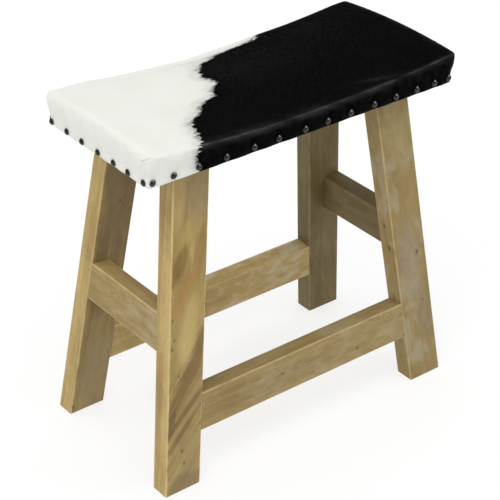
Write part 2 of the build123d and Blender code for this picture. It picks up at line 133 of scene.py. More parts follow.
# Cells of the hide's and the foam's lattices, and how far the hide rises between its nails
# and falls at them
HIDE_CELL, FOAM_CELL = 6.0, 9.0
BULGE_RISE = 1.1
DIMPLE_DEPTH = 0.8

# What the hide's step keeps for the hair's: points, faces and lattice
BENCH = {}

# The photograph's camera
CAMERA_ANGLES = (38.251, 31.128, 0.528)
CAMERA_TARGET = (-8.592, 0.0, 278.21)
CAMERA_DISTANCE = 2.72464

# Edge between white and black hair: distance across the hide laid flat, place along X
HIDE_EDGE = np.array(
    [
        (-215, -200), (-190, -206), (-173, -211), (-162, -214), (-150, -212),
        (-136, -206), (-118, -195), (-100, -189), (-80, -181), (-64, -166),
        (-50, -145), (-34, -130), (-22, -115), (-12, -90), (8, -76),
        (22, -60), (36, -58), (54, -66), (76, -52), (97, -36),
        (106, -12), (112, 8), (114, 32), (116, 60), (118, 82),
        (122, 97), (130, 104), (150, 108), (172, 111), (215, 118),
    ],
    float,
)


# Settings a user would change


def length_setting(name, description, default, low, high):
    """A length in metres."""
    return FloatProperty(
        name=name, description=description, default=default, min=low, max=high,
        subtype="DISTANCE", unit="LENGTH",
    )


def colour_setting(name, description, default):
    """A linear colour."""
    return FloatVectorProperty(
        name=name, description=description, default=default, size=3, min=0.0, max=1.0,
        subtype="COLOR",
    )


class HideSettings(bpy.types.PropertyGroup):
    """Sizes and colours of the hide and its hair."""

    thickness: length_setting("Thickness", "Skin without its hair", 0.002, 0.0005, 0.006)
    hair_depth: length_setting(
        "Hair depth", "Height of the lying hair above the skin", 0.0007, 0.0, 0.005
    )
    hair_length: length_setting(
        "Hair length", "Mean length of one tuft of hair", 0.009, 0.001, 0.03
    )
    hair_width: length_setting(
        "Hair width", "Width of a tuft at its root", 0.00034, 0.0001, 0.002
    )
    edge_radius: length_setting(
        "Edge radius", "Round of the seat's top edges", 0.0070, 0.002, 0.02
    )
    white: colour_setting("White hair", "Colour of the white hair", (0.806, 0.81, 0.768))
    black: colour_setting("Black hair", "Colour of the black hair", (0.0020, 0.0019, 0.0018))
    flesh: colour_setting("Flesh side", "Colour of the tanned inner side", (0.50, 0.42, 0.31))


class WoodSettings(bpy.types.PropertyGroup):
    """Colours of the waxed mango wood."""

    light: colour_setting("Light wood", "Pale sapwood streaks", (0.58, 0.44, 0.196))
    tan: colour_setting("Tan wood", "Main colour of the wood", (0.44, 0.315, 0.119))
    brown: colour_setting("Brown wood", "Brown growth bands", (0.29, 0.19, 0.062))
    dark: colour_setting("Dark wood", "Knots and the darkest streaks", (0.135, 0.085, 0.032))


class MetalSettings(bpy.types.PropertyGroup):
    """Colours of the fixings."""

    nail: colour_setting("Nail", "Antique finish of the domed nails", (0.011, 0.0105, 0.0095))
    screw: colour_setting("Screw", "Zinc of the screws", (0.56, 0.50, 0.34))
    staple: colour_setting("Staple", "Galvanised wire of the staples", (0.50, 0.50, 0.49))


class StageSettings(bpy.types.PropertyGroup):
    """Floor, light, camera and the start of the random draws."""

    floor_colour: colour_setting("Floor", "Colour of the floor", (0.92, 0.92, 0.92))
    floor_radius: length_setting("Floor radius", "How far the floor reaches", 9.0, 1.0, 50.0)
    sky_light: FloatProperty(
        name="Sky light", description="Strength of the white surround",
        default=1.0, min=0.0, max=5.0, subtype="FACTOR",
    )
    key_power: FloatProperty(
        name="Key light", description="Power of the large soft light over the left end",
        default=14.0, min=0.0, max=2000.0, unit="POWER",
    )
    focal_length: FloatProperty(
        name="Focal length", description="Camera lens in millimetres",
        default=119.23, min=10.0, max=500.0,
    )
    hair_seed: IntProperty(
        name="Hair seed", description="Start of the random draws for the hair",
        default=7, min=0, max=10000,
    )


SETTINGS = {
    "bench_hide": HideSettings,
    "bench_wood": WoodSettings,
    "bench_metal": MetalSettings,
    "bench_stage": StageSettings,
}


# Shader expressions


class Socket:
    """One output of a shader node. Arithmetic with it adds Math nodes, whose other side may
    be another Socket or a number."""

    def __init__(self, finish, link):
        self.finish = finish
        self.link = link

    def _math(self, operation, first, second=None):
        values = {0: first} if second is None else {0: first, 1: second}
        return self.finish.node("ShaderNodeMath", {"operation": operation}, values).out()

    def __add__(self, other):
        return self._math("ADD", self, other)

    def __radd__(self, other):
        return self._math("ADD", other, self)

    def __sub__(self, other):
        return self._math("SUBTRACT", self, other)

    def __rsub__(self, other):
        return self._math("SUBTRACT", other, self)

    def __mul__(self, other):
        return self._math("MULTIPLY", self, other)

    def __rmul__(self, other):
        return self._math("MULTIPLY", other, self)

    def __truediv__(self, other):
        return self._math("DIVIDE", self, other)

    def __pow__(self, other):
        return self._math("POWER", self, other)

    def __neg__(self):
        return self._math("MULTIPLY", self, -1.0)

    def __abs__(self):
        return self._math("ABSOLUTE", self)

    def maximum(self, other):
        return self._math("MAXIMUM", self, other)

    def floor(self):
        return self._math("FLOOR", self)


class Made:
    """A shader node that has been set up."""

    def __init__(self, finish, node):
        self.finish = finish
        self.node = node

    def out(self, name=0):
        if isinstance(name, str):
            found = [s for s in self.node.outputs if s.name == name and s.enabled]
            return Socket(self.finish, found[0])
        found = [s for s in self.node.outputs if s.enabled]
        return Socket(self.finish, found[name])


class Finish:
    """A procedural material, or the world's shader, that is being put together."""

    def __init__(self, name, owner=None):
        self.material = owner or bpy.data.materials.new(name)
        self.material.use_nodes = True
        self.tree = self.material.node_tree
        self.tree.nodes.clear()
        self.columns = 0

    def node(self, kind, settings=None, values=None):
        """Adds a node: its settings first, then the values or links of its sockets."""
        node = self.tree.nodes.new(kind)
        self.columns += 1
        node.location = (220 * (self.columns % 24), -260 * (self.columns // 24))
        for key, value in (settings or {}).items():
            if key == "stops":
                ramp = node.color_ramp
                while len(ramp.elements) > 1:
                    ramp.elements.remove(ramp.elements[-1])
                for at, (place, colour) in enumerate(value):
                    stop = ramp.elements[0] if at == 0 else ramp.elements.new(place)
                    stop.position = place
                    stop.color = (*colour, 1.0)
            else:
                setattr(node, key, value)
        for key, value in (values or {}).items():
            if isinstance(key, str):
                socket = [s for s in node.inputs if s.name == key and s.enabled][0]
            else:
                socket = [s for s in node.inputs if s.enabled][key]
            if isinstance(value, Socket):
                self.tree.links.new(value.link, socket)
            elif isinstance(value, (tuple, list)) and socket.type == "RGBA":
                socket.default_value = (*value, 1.0) if len(value) == 3 else value
            else:
                socket.default_value = value
        return Made(self, node)

    def object_place(self):
        """The Object coordinates, in metres."""
        return self.node("ShaderNodeTexCoord").out("Object")

    def split(self, vector):
        parts = self.node("ShaderNodeSeparateXYZ", None, {"Vector": vector})
        return parts.out("X"), parts.out("Y"), parts.out("Z")

    def object_xyz(self):
        return self.split(self.object_place())

    def map_xy(self):
        """The two coordinates of the piece's own map."""
        return self.split(self.node("ShaderNodeUVMap", {"uv_map": UV_NAME}).out())[:2]

    def attribute(self, name):
        return self.node("ShaderNodeAttribute", {"attribute_name": name}).out("Fac")

    def vector(self, x, y, z):
        return self.node("ShaderNodeCombineXYZ", None, {"X": x, "Y": y, "Z": z}).out()

    def noise(self, place, scale=1.0, detail=2.0, roughness=0.5, distortion=0.0):
        values = {
            "Vector": place,
            "Scale": scale,
            "Detail": detail,
            "Roughness": roughness,
            "Distortion": distortion,
        }
        return self.node("ShaderNodeTexNoise", None, values).out()

    def cells(self, place, scale, randomness=1.0):
        """Distance to the nearest of scattered points."""
        values = {"Vector": place, "Scale": scale, "Randomness": randomness}
        return self.node("ShaderNodeTexVoronoi", {"feature": "F1"}, values).out("Distance")

    def grain(self, x, y, z, detail=2.0, roughness=0.5, distortion=0.0):
        """Noise at a place given by three numbers that are stretched beforehand."""
        return self.noise(self.vector(x, y, z), 1.0, detail, roughness, distortion)

    def step(self, value, low, high):
        """Smooth step: 0 below low, 1 above high."""
        settings = {"interpolation_type": "SMOOTHSTEP"}
        values = {"Value": value, "From Min": low, "From Max": high}
        return self.node("ShaderNodeMapRange", settings, values).out()

    def mix(self, share, first, second):
        """Mixes two colours."""
        settings = {"data_type": "RGBA", "blend_type": "MIX", "clamp_factor": True}
        return self.node(
            "ShaderNodeMix", settings, {"Factor": share, "A": first, "B": second}
        ).out("Result")

    def scaled(self, colour, share):
        """A colour times a number that varies over the surface."""
        settings = {"operation": "SCALE"}
        return self.node("ShaderNodeVectorMath", settings, {0: colour, "Scale": share}).out()

    def ramp(self, share, stops):
        return self.node("ShaderNodeValToRGB", {"stops": stops}, {"Fac": share}).out("Color")

    def bump(self, height, distance, strength):
        values = {"Height": height, "Distance": distance, "Strength": strength}
        return self.node("ShaderNodeBump", None, values).out()

    def surface(self, values):
        """Ends the material with a Principled shader."""
        shader = self.node("ShaderNodeBsdfPrincipled", None, values).out("BSDF")
        self.node("ShaderNodeOutputMaterial", {"target": "ALL"}, {"Surface": shader})
        return self.material


def blend(first, second, share):
    """A colour this share of the way from the first to the second."""
    return tuple((1 - share) * a + share * b for a, b in zip(first, second))


def times(colour, share):
    """A colour with each part times a share."""
    return tuple(share * part for part in colour)


def dress(node_name, material):
    """Gives a CAD node its material, in the slots that its mesh has."""
    mesh = NODES[node_name].data
    if mesh.materials:
        for slot in range(len(mesh.materials)):
            mesh.materials[slot] = material
    else:
        mesh.materials.append(material)


# Shapes


def saddle_edge(x):
    """Height of the seat's long top edges: a circle through the raised ends."""
    return EDGE_MIDDLE + SADDLE_RADIUS - np.sqrt(SADDLE_RADIUS**2 - x**2)


def crown(y):
    """Rise of the padding above the edges: a parabola across the seat."""
    return CROWN_RISE * (1 - (y / SEAT_HALF_WIDTH) ** 2)


def hump(distance, reach):
    """A bell: 1 at the middle, falling as exp(-(distance / reach)^2)."""
    return np.exp(-((distance / reach) ** 2))


def hand_work(x, y):
    """How far the padding's top stands off the true saddle, in millimetres: a sum of listed bells
    that are fullest at the front or the back edge."""
    back = np.clip(0.5 + y / (2 * SEAT_HALF_WIDTH), 0, 1)
    front = 1 - back
    rise_back = 3.6 * hump(x + 222, 42) + 1.0 * hump(x + 130, 40) - 1.8 * hump(x + 45, 45)
    rise_back = rise_back + 1.3 * hump(x - 95, 55)
    rise_front = 1.2 * hump(x + 205, 26) - 1.6 * hump(x + 252, 22) - 0.8 * hump(x + 80, 45)
    rise_front = rise_front + 0.7 * hump(x - 75, 50) - 0.7 * hump(x - 225, 32)
    droop = np.where(x < 0, -1.2, -2.2) * hump(SEAT_HALF_LENGTH - np.abs(x), 20)
    droop = droop * (y / SEAT_HALF_WIDTH) ** 2
    hollow = -1.2 * hump(np.hypot((x + 150) / 1.9, y + 8), 42)
    ridge = 0.9 * hump(y + 62, 16) * hump(x + 175, 70)
    return back**2 * rise_back + front**2 * rise_front + droop + hollow + ridge


def seat_lines(half, fine, cells):
    """Grid lines across the seat: fine steps beside each edge, then equal cells."""
    inner = np.linspace(fine[-1] - half, half - fine[-1], cells + 1)
    edge = np.array(fine[:-1], float)
    return np.concatenate([edge - half, inner, half - edge[::-1]])


def box_lattice(count_x, count_y, rings, closed):
    """Faces of an open or closed box with a gridded top. Vertices are the top grid, column
    by column, then each ring round the rim, and for a closed box the inner points of a
    bottom grid that fills the last ring. Returns (rim, faces, ring side of each face):
    rim holds the top grid's rim in order from the front left corner."""
    top = np.arange((count_x + 1) * (count_y + 1)).reshape(count_x + 1, count_y + 1)
    rim = np.concatenate(
        [top[:-1, 0], top[-1, :-1], top[:0:-1, -1], top[0, :0:-1]]
    )
    faces = [
        np.stack([top[:-1, :-1], top[1:, :-1], top[1:, 1:], top[:-1, 1:]], -1).reshape(-1, 4)
    ]
    sides = [np.full(count_x * count_y, -1)]
    side_of = np.repeat([0, 1, 2, 3], [count_x, count_y, count_x, count_y])
    start = top.size
    upper = rim
    for _ in range(rings):
        lower = start + np.arange(rim.size)
        faces.append(
            np.stack([upper, lower, np.roll(lower, -1), np.roll(upper, -1)], -1)
        )
        sides.append(side_of)
        upper = lower
        start += rim.size
    if closed:
        bottom = np.zeros_like(top)
        inner = np.arange((count_x - 1) * (count_y - 1)) + start
        bottom[1:-1, 1:-1] = inner.reshape(count_x - 1, count_y - 1)
        bottom[:-1, 0] = upper[:count_x]
        bottom[-1, :-1] = upper[count_x:count_x + count_y]
        bottom[:0:-1, -1] = upper[count_x + count_y:2 * count_x + count_y]
        bottom[0, :0:-1] = upper[2 * count_x + count_y:]
        faces.append(
            np.stack(
                [bottom[:-1, :-1], bottom[:-1, 1:], bottom[1:, 1:], bottom[1:, :-1]], -1
            ).reshape(-1, 4)
        )
        sides.append(np.full(count_x * count_y, -2))
    return rim, np.concatenate(faces), np.concatenate(sides)


def rounded_plan(x, y, half_x, half_y, corner):
    """Moves the points of a sharp rectangle into one with round corners: in a corner square,
    the point (u, v) from the arc's centre goes to (u, v) max(u, v) / |(u, v)|."""
    u = np.maximum(np.abs(x) - (half_x - corner), 0)
    v = np.maximum(np.abs(y) - (half_y - corner), 0)
    length = np.maximum(np.hypot(u, v), TINY)
    share = np.where(length > 2 * TINY, np.maximum(u, v) / length, 1)
    new_x = np.sign(x) * (np.minimum(np.abs(x), half_x - corner) + u * share)
    new_y = np.sign(y) * (np.minimum(np.abs(y), half_y - corner) + v * share)
    return new_x, new_y


def outline_frame(x, y, half_x, half_y, corner):
    """Distance inside a rounded rectangle's outline and the outward direction there."""
    u = np.abs(x) - (half_x - corner)
    v = np.abs(y) - (half_y - corner)
    both = (u > 0) & (v > 0)
    length = np.maximum(np.hypot(np.maximum(u, 0), np.maximum(v, 0)), TINY)
    along_x = np.where(both, np.maximum(u, 0) / length, (u >= v).astype(float))
    along_y = np.where(both, np.maximum(v, 0) / length, (u < v).astype(float))
    inside = corner - np.where(both, length, np.maximum(u, v))
    return inside, np.sign(x) * along_x, np.sign(y) * along_y


def round_edge(inset, depth, radius):
    """Moves points near a square edge onto a quarter circle, along lines from its centre."""
    away_in = np.minimum(inset - radius, 0)
    away_down = np.minimum(depth - radius, 0)
    near = (inset < radius) & (depth < radius)
    length = np.maximum(np.hypot(away_in, away_down), TINY)
    new_inset = np.where(near, radius + radius * away_in / length, inset)
    new_depth = np.where(near, radius + radius * away_down / length, depth)
    return new_inset, new_depth


def edge_round(x, out_x):
    """Radius of the seat's top edge: wider along the white end than elsewhere."""
    share = np.clip((-x - 150) / 120, 0, 1)
    base = bpy.context.scene.bench_hide.edge_radius / MM
    return base + 5.4 * share * share * (3 - 2 * share) * out_x**2


def swell_draw(height):
    """Share of the full draw at a height above the seat's base."""
    return np.interp(height, SWELL_HEIGHTS, SWELL_DRAWS)


class PadLattice:
    """The covered seat's outer surface as a lattice: a gridded top, rings down the sides and,
    for the hide, rings inwards under the seat as the hem."""

    TOP_STEPS = (0.0, 2.2, 4.8, 8.2, 12.6)
    UPPER_DEPTHS = (2.2, 4.8, 8.2, 12.4)
    MIDDLE_SHARES = (0.2, 0.4, 0.6, 0.8, 1.0)
    LOWER_RISES = (3.4, 1.5, 0.0)
    LOWER_BAND = 6.0
    HEM_INSETS = (1.5, 3.4, 6.5, 11.0, 16.5, HEM_WIDTH)

    def __init__(self, cell):
        self.half_x = SEAT_HALF_LENGTH
        self.half_y = SEAT_HALF_WIDTH
        reach = 2 * self.TOP_STEPS[-1]
        cells_x = int(round((2 * self.half_x - reach) / cell))
        cells_y = int(round((2 * self.half_y - reach) / cell))
        self.lines_x = seat_lines(self.half_x, self.TOP_STEPS, cells_x)
        self.lines_y = seat_lines(self.half_y, self.TOP_STEPS, cells_y)
        self.count_x = self.lines_x.size - 1
        self.count_y = self.lines_y.size - 1
        self.base_radius = 2.6
        self.upper_corner = 9.0
        self.lower_corner = 5.5

    def side_depths(self, full):
        """Depth of each ring at places whose side is `full` deep, one row per ring."""
        middle = full - self.LOWER_BAND - self.UPPER_DEPTHS[-1]
        rows = [np.full_like(full, depth) for depth in self.UPPER_DEPTHS]
        rows += [self.UPPER_DEPTHS[-1] + share * middle for share in self.MIDDLE_SHARES]
        rows += [full - rise for rise in self.LOWER_RISES]
        return np.array(rows)

    def points(self):
        """Place of each vertex, and its place on the hide laid flat, in millimetres."""
        grid_x, grid_y = np.meshgrid(self.lines_x, self.lines_y, indexing="ij")
        top_x, top_y = grid_x.ravel(), grid_y.ravel()
        rim = box_lattice(self.count_x, self.count_y, 0, False)[0]
        rim_x, rim_y = top_x[rim], top_y[rim]
        full = saddle_edge(rim_x) + crown(rim_y) - SEAT_BASE
        depths = self.side_depths(full)
        hems = np.array(self.HEM_INSETS)[:, None] + 0 * full[None, :]
        rows = len(depths) + len(hems)
        x = np.concatenate([top_x, np.tile(rim_x, rows)])
        y = np.concatenate([top_y, np.tile(rim_y, rows)])
        depth = np.concatenate(
            [0 * top_x, depths.ravel(), np.tile(full, len(hems))]
        )
        under = np.concatenate([0 * top_x, 0 * depths.ravel(), hems.ravel()])
        laid = np.concatenate([0 * top_x, depths.ravel(), (hems + full).ravel()])
        below = np.concatenate([0 * top_x + END_DEPTH, np.tile(full, rows)]) - depth
        return x, y, depth, under, laid, below

    def place(self):
        """Vertices in millimetres. A point of the sharp box goes to the rounded plan at its
        level, which is drawn in by the swell, and onto the round of the top or base edge.
        Below the top, the plan is a rounded rectangle that shrinks by the inset."""
        x, y, depth, under, _, below = self.points()
        swell = swell_draw(np.clip(below, 0, None))
        corner = self.upper_corner + (self.lower_corner - self.upper_corner) * swell
        plan_x, plan_y = rounded_plan(x, y, self.half_x, self.half_y, corner)
        inside, out_x, out_y = outline_frame(
            plan_x, plan_y, self.half_x, self.half_y, corner
        )
        on_top = depth <= 0
        inside = np.where(on_top, np.maximum(inside, 0), 0)
        edge_inset, edge_depth = round_edge(inside, depth, edge_round(plan_x, out_x))
        hem_inset, hem_rise = round_edge(under, below, self.base_radius)
        is_low = ~on_top & ((below < self.base_radius) | (under > 0))
        inset = np.where(is_low, hem_inset, edge_inset)
        half_x = self.half_x - END_DRAW * swell - inset
        half_y = self.half_y - SIDE_DRAW * swell - inset
        side_x, side_y = rounded_plan(
            x * half_x / self.half_x, y * half_y / self.half_y, half_x, half_y,
            np.maximum(corner - inset, 0.8),
        )
        new_x = np.where(on_top, plan_x + out_x * (inside - inset), side_x)
        new_y = np.where(on_top, plan_y + out_y * (inside - inset), side_y)
        top = saddle_edge(plan_x) + crown(plan_y) - edge_depth
        z = np.where(is_low, SEAT_BASE + hem_rise, top)
        return np.stack([new_x, new_y, z], -1)

    def hand_rise(self, points):
        """How far each vertex is lifted by the padding's uneven top, fading down the sides."""
        fade = np.clip((points[:, 2] - (saddle_edge(points[:, 0]) - 24)) / 14, 0, 1)
        fade = fade * fade * (3 - 2 * fade)
        return fade * hand_work(points[:, 0], points[:, 1])

    def flat(self, side):
        """Place of each vertex on the hide laid flat, as seen by the faces of one side:
        -1 is the top, then front, right, back and left."""
        x, y, _, _, laid, _ = self.points()
        step = {-1: (0, 0), 0: (0, -1), 1: (1, 0), 2: (0, 1), 3: (-1, 0)}[side]
        return np.stack([x + step[0] * laid, y + step[1] * laid], -1)


def vertex_normals(points, faces):
    """Unit normals: the sum of the neighbouring faces' area vectors."""
    a, b, c, d = (points[faces[:, k]] for k in range(4))
    area = np.cross(c - a, d - b)
    total = np.zeros_like(points)
    for k in range(4):
        np.add.at(total, faces[:, k], area)
    return total / np.maximum(np.linalg.norm(total, axis=1, keepdims=True), TINY)


def before_smoothing(points, faces):
    """Vertices of a closed mesh of quads moved so that one subdivision step brings them back
    to `points`. The step takes a vertex of n faces to (mean face centre + mean neighbour +
    (n - 2) vertex) / n, and each round adds what it took away."""
    count = np.bincount(faces.ravel(), minlength=len(points))[:, None].astype(float)
    moved = points.copy()
    for _ in range(3):
        centre = moved[faces].mean(axis=1)
        total = np.zeros_like(points)
        for k in range(4):
            neighbours = (moved[faces[:, k - 1]] + moved[faces[:, (k + 1) % 4]]) / 2
            np.add.at(total, faces[:, k], centre + neighbours)
        smoothed = (total / count + (count - 2) * moved) / count
        moved = moved + points - smoothed
    return moved


def make_mesh(name, points_mm, faces):
    """A mesh in metres from vertices in millimetres and faces of three or four corners."""
    mesh = bpy.data.meshes.new(name)
    count, corners = faces.shape
    mesh.vertices.add(len(points_mm))
    mesh.vertices.foreach_set("co", (points_mm * MM).astype(np.float32).ravel())
    mesh.loops.add(count * corners)
    mesh.loops.foreach_set("vertex_index", faces.astype(np.int32).ravel())
    mesh.polygons.add(count)
    starts = np.arange(0, count * corners, corners, dtype=np.int32)
    mesh.polygons.foreach_set("loop_start", starts)
    mesh.polygons.foreach_set("use_smooth", np.full(count, True))
    mesh.update(calc_edges=True)
    mesh.validate()
    return mesh


def add_piece(name, mesh):
    """An object at the origin that shows this mesh."""
    piece = bpy.data.objects.new(name, mesh)
    bpy.context.scene.collection.objects.link(piece)
    return piece


def set_uv(mesh, coordinates):
    layer = mesh.uv_layers.new(name=UV_NAME)
    layer.data.foreach_set("uv", coordinates.astype(np.float32).ravel())


def set_float(mesh, name, values):
    layer = mesh.attributes.new(name, "FLOAT", "POINT")
    layer.data.foreach_set("value", values.astype(np.float32))


def nail_places():
    """Centres of the nail heads' rims on the drawn-in sides: front, back, left and right."""
    half_x = SEAT_HALF_LENGTH - END_DRAW
    half_y = SEAT_HALF_WIDTH - SIDE_DRAW
    side_z, end_z = SEAT_BASE + SIDE_NAIL_HEIGHT, SEAT_BASE + END_NAIL_HEIGHT
    places = []
    for way in (-1, 1):
        for share in SIDE_NAIL_SHARES:
            places.append((-way * share * half_x, way * half_y, side_z))
    for way in (-1, 1):
        for share in END_NAIL_SHARES:
            places.append((way * half_x, -way * share * half_y, end_z))
    return np.array(places)


def nail_pull(points):
    """For each vertex, the nearest nail's bell by its distance: 1 on a nail's centre."""
    pull = np.zeros(len(points))
    for nail in nail_places():
        away = np.linalg.norm(points - nail, axis=1)
        pull = np.maximum(pull, hump(away, NAIL_DIMPLE_REACH))
    return pull


def side_bulge(points):
    """How far the hide stands out between its nails: the squared sine of the distance to the
    nearest nail, times a bell of the height that is strongest near the nail row."""
    above = points[:, 2] - (SEAT_BASE + 8)
    band = np.where(above < 0, hump(above, 9.0), hump(above, 13.0))
    nearest = np.full(len(points), np.inf)
    for nail in nail_places():
        flat = np.hypot(points[:, 0] - nail[0], points[:, 1] - nail[1])
        nearest = np.minimum(nearest, flat)
    wave = np.sin(np.clip(nearest / 22.0, 0, 1) * math.pi / 2) ** 2
    return band * wave


def relax_hide(points, faces, held):
    """Runs the hide as cloth with air pressure behind it, held by the share `held` of each
    vertex, and returns how far each vertex went."""
    mesh = make_mesh("hide_cloth", points, faces)
    piece = add_piece("hide_cloth", mesh)
    group = piece.vertex_groups.new(name="held")
    for level in np.unique(np.round(held, 1)):
        if level > 0:
            chosen = np.flatnonzero(np.round(held, 1) == level)
            group.add(chosen.tolist(), float(level), "REPLACE")
    cloth = piece.modifiers.new("cloth", "CLOTH")
    cloth.settings.quality = 6
    cloth.settings.mass = 0.4
    cloth.settings.tension_stiffness = 30
    cloth.settings.compression_stiffness = 30
    cloth.settings.shear_stiffness = 10
    cloth.settings.bending_stiffness = 2.0
    cloth.settings.vertex_group_mass = "held"
    cloth.settings.pin_stiffness = 2.0
    cloth.settings.shrink_min = -0.012
    cloth.settings.use_pressure = True
    cloth.settings.uniform_pressure_force = 4.0
    cloth.settings.effector_weights.gravity = 0.0
    cloth.collision_settings.use_collision = False
    scene = bpy.context.scene
    scene.frame_start, scene.frame_end = 1, CLOTH_FRAMES
    cloth.point_cache.frame_start, cloth.point_cache.frame_end = 1, CLOTH_FRAMES
    for number in range(1, CLOTH_FRAMES + 1):
        scene.frame_set(number)
    shown = piece.evaluated_get(bpy.context.evaluated_depsgraph_get())
    moved = np.zeros(len(points) * 3, np.float32)
    shown.data.vertices.foreach_get("co", moved)
    moved = moved.reshape(-1, 3).astype(float) / MM
    scene.frame_set(1)
    bpy.data.objects.remove(piece)
    bpy.data.meshes.remove(mesh)
    return moved - points


def hide_surface():
    """The skin's outer surface in millimetres, its faces and the lattice it came from."""
    hide = bpy.context.scene.bench_hide
    lattice = PadLattice(HIDE_CELL)
    rings = len(lattice.UPPER_DEPTHS) + len(lattice.MIDDLE_SHARES)
    rings += len(lattice.LOWER_RISES) + len(lattice.HEM_INSETS)
    _, faces, sides = box_lattice(lattice.count_x, lattice.count_y, rings, False)
    points = lattice.place()
    _, _, _, under, laid, _ = lattice.points()
    on_hem = under > 0
    on_top = laid <= 0
    out = vertex_normals(points, faces)
    hair = hide.hair_depth / MM
    fade = np.clip((points[:, 2] - SEAT_BASE - 2) / 8, 0, 1)
    points = points - out * (hair * fade)[:, None]
    points[:, 2] += lattice.hand_rise(points)
    points = points + out * (BULGE_RISE * side_bulge(points) * ~on_hem)[:, None]
    held = np.where(points[:, 2] < SEAT_BASE + 1.5, 1.0, 0.0)
    held = np.maximum(held, np.round(nail_pull(points), 1))
    held = np.maximum(held, np.where(on_top, 0.5, 0.0))
    went = relax_hide(points, faces, held)
    push = np.clip((went * vertex_normals(points, faces)).sum(axis=1), -0.3, 1.6)
    push = push * np.where(on_top, 0.35, 1.0)
    points = points + out * push[:, None]
    out = vertex_normals(points, faces)
    points = points - out * (DIMPLE_DEPTH * nail_pull(points) * ~on_hem)[:, None]
    return points, faces, sides, lattice


def hide_edge_distance(flat):
    """Signed distance in millimetres from the edge between the hair colours, measured on the
    hide laid flat: the offset along X over the slope's length. Black is positive."""
    across = np.arange(HIDE_EDGE[0, 0], HIDE_EDGE[-1, 0] + 1.0)
    place = np.interp(across, HIDE_EDGE[:, 0], HIDE_EDGE[:, 1])
    smooth = np.hanning(9)
    padded = np.pad(place, 4, mode="edge")
    place = np.convolve(padded, smooth / smooth.sum(), mode="valid")
    slope = np.gradient(place, across)
    at = np.interp(flat[:, 1], across, place)
    steep = np.interp(flat[:, 1], across, slope)
    return (flat[:, 0] - at) / np.sqrt(1 + steep**2)


def hide_sheen(flat):
    """Painted sheen of the hair from 0 to 1 on the hide laid flat: a painted highlight that
    lightens the black hair's colour, with more coat under it. Bells across each long edge and
    each end edge, where the light catches the rounded edge, times waves along it. One painted
    highlight on a fold lies at the front right, and two wide, faint bells of painted light on the
    top."""
    u, v = flat[:, 0], flat[:, 1]
    lumps = 0.64 + 0.20 * np.sin(u / 19.0 + 0.8) + 0.18 * np.sin(u / 7.3 + v / 5.0)
    front = 0.95 * hump(v + SEAT_HALF_WIDTH + 2.5, 6.3) * lumps * np.clip(1.25 - u / 330, 0.3, 1)
    front = front + 0.30 * hump(v + SEAT_HALF_WIDTH - 8.0, 8.0) * lumps * np.clip(1 - u / 60, 0, 1)
    back = 0.5 * hump(v - SEAT_HALF_WIDTH + 2.5, 6.5) * lumps
    rows = 0.62 + 0.3 * np.sin(v / 13.0 + 2.0) + 0.15 * np.sin(v / 5.7)
    ends = 0.45 * hump(np.abs(u) - SEAT_HALF_LENGTH + 2.5, 6.0) * rows
    front = front * np.clip(np.abs(u - 178) / 14, 0.3, 1)
    fold = v + 131 - (190 - u) * 0.31
    fold_highlight = 0.60 * hump(fold, np.where(fold > 0, 6.0, 3.5)) * hump(u - 158, 34) * lumps
    glow = 0.10 * hump(u - 20, 130) * hump(v - 60, 60) + 0.07 * hump(u - 190, 60) * hump(v - 95, 40)
    return np.clip(front + back + ends + fold_highlight + glow, 0, 1)


def corner_pleat_shade_and_dent(finish):
    """Strength of the two short gathers of the hide below each front top corner, the lower
    one weaker: lines on the end that rise to the corner, by their distance in height. It
    darkens the colour as painted shade in the gathers, and dents the bump."""
    x, y, z = finish.object_xyz()
    corner = SEAT_BASE * MM + 0.050
    line = z - corner - (-y - 0.132) * 0.58
    place = finish.step(-y, 0.116, 0.122) * (1.0 - finish.step(-y, 0.133, 0.1355))
    place = place * finish.step(abs(x), 0.290, 0.293)
    upper = 1.0 - finish.step(abs(line), 0.0004, 0.0018)
    lower = 1.0 - finish.step(abs(line + 0.0062), 0.0004, 0.0016)
    return place * (upper + lower * 0.45)


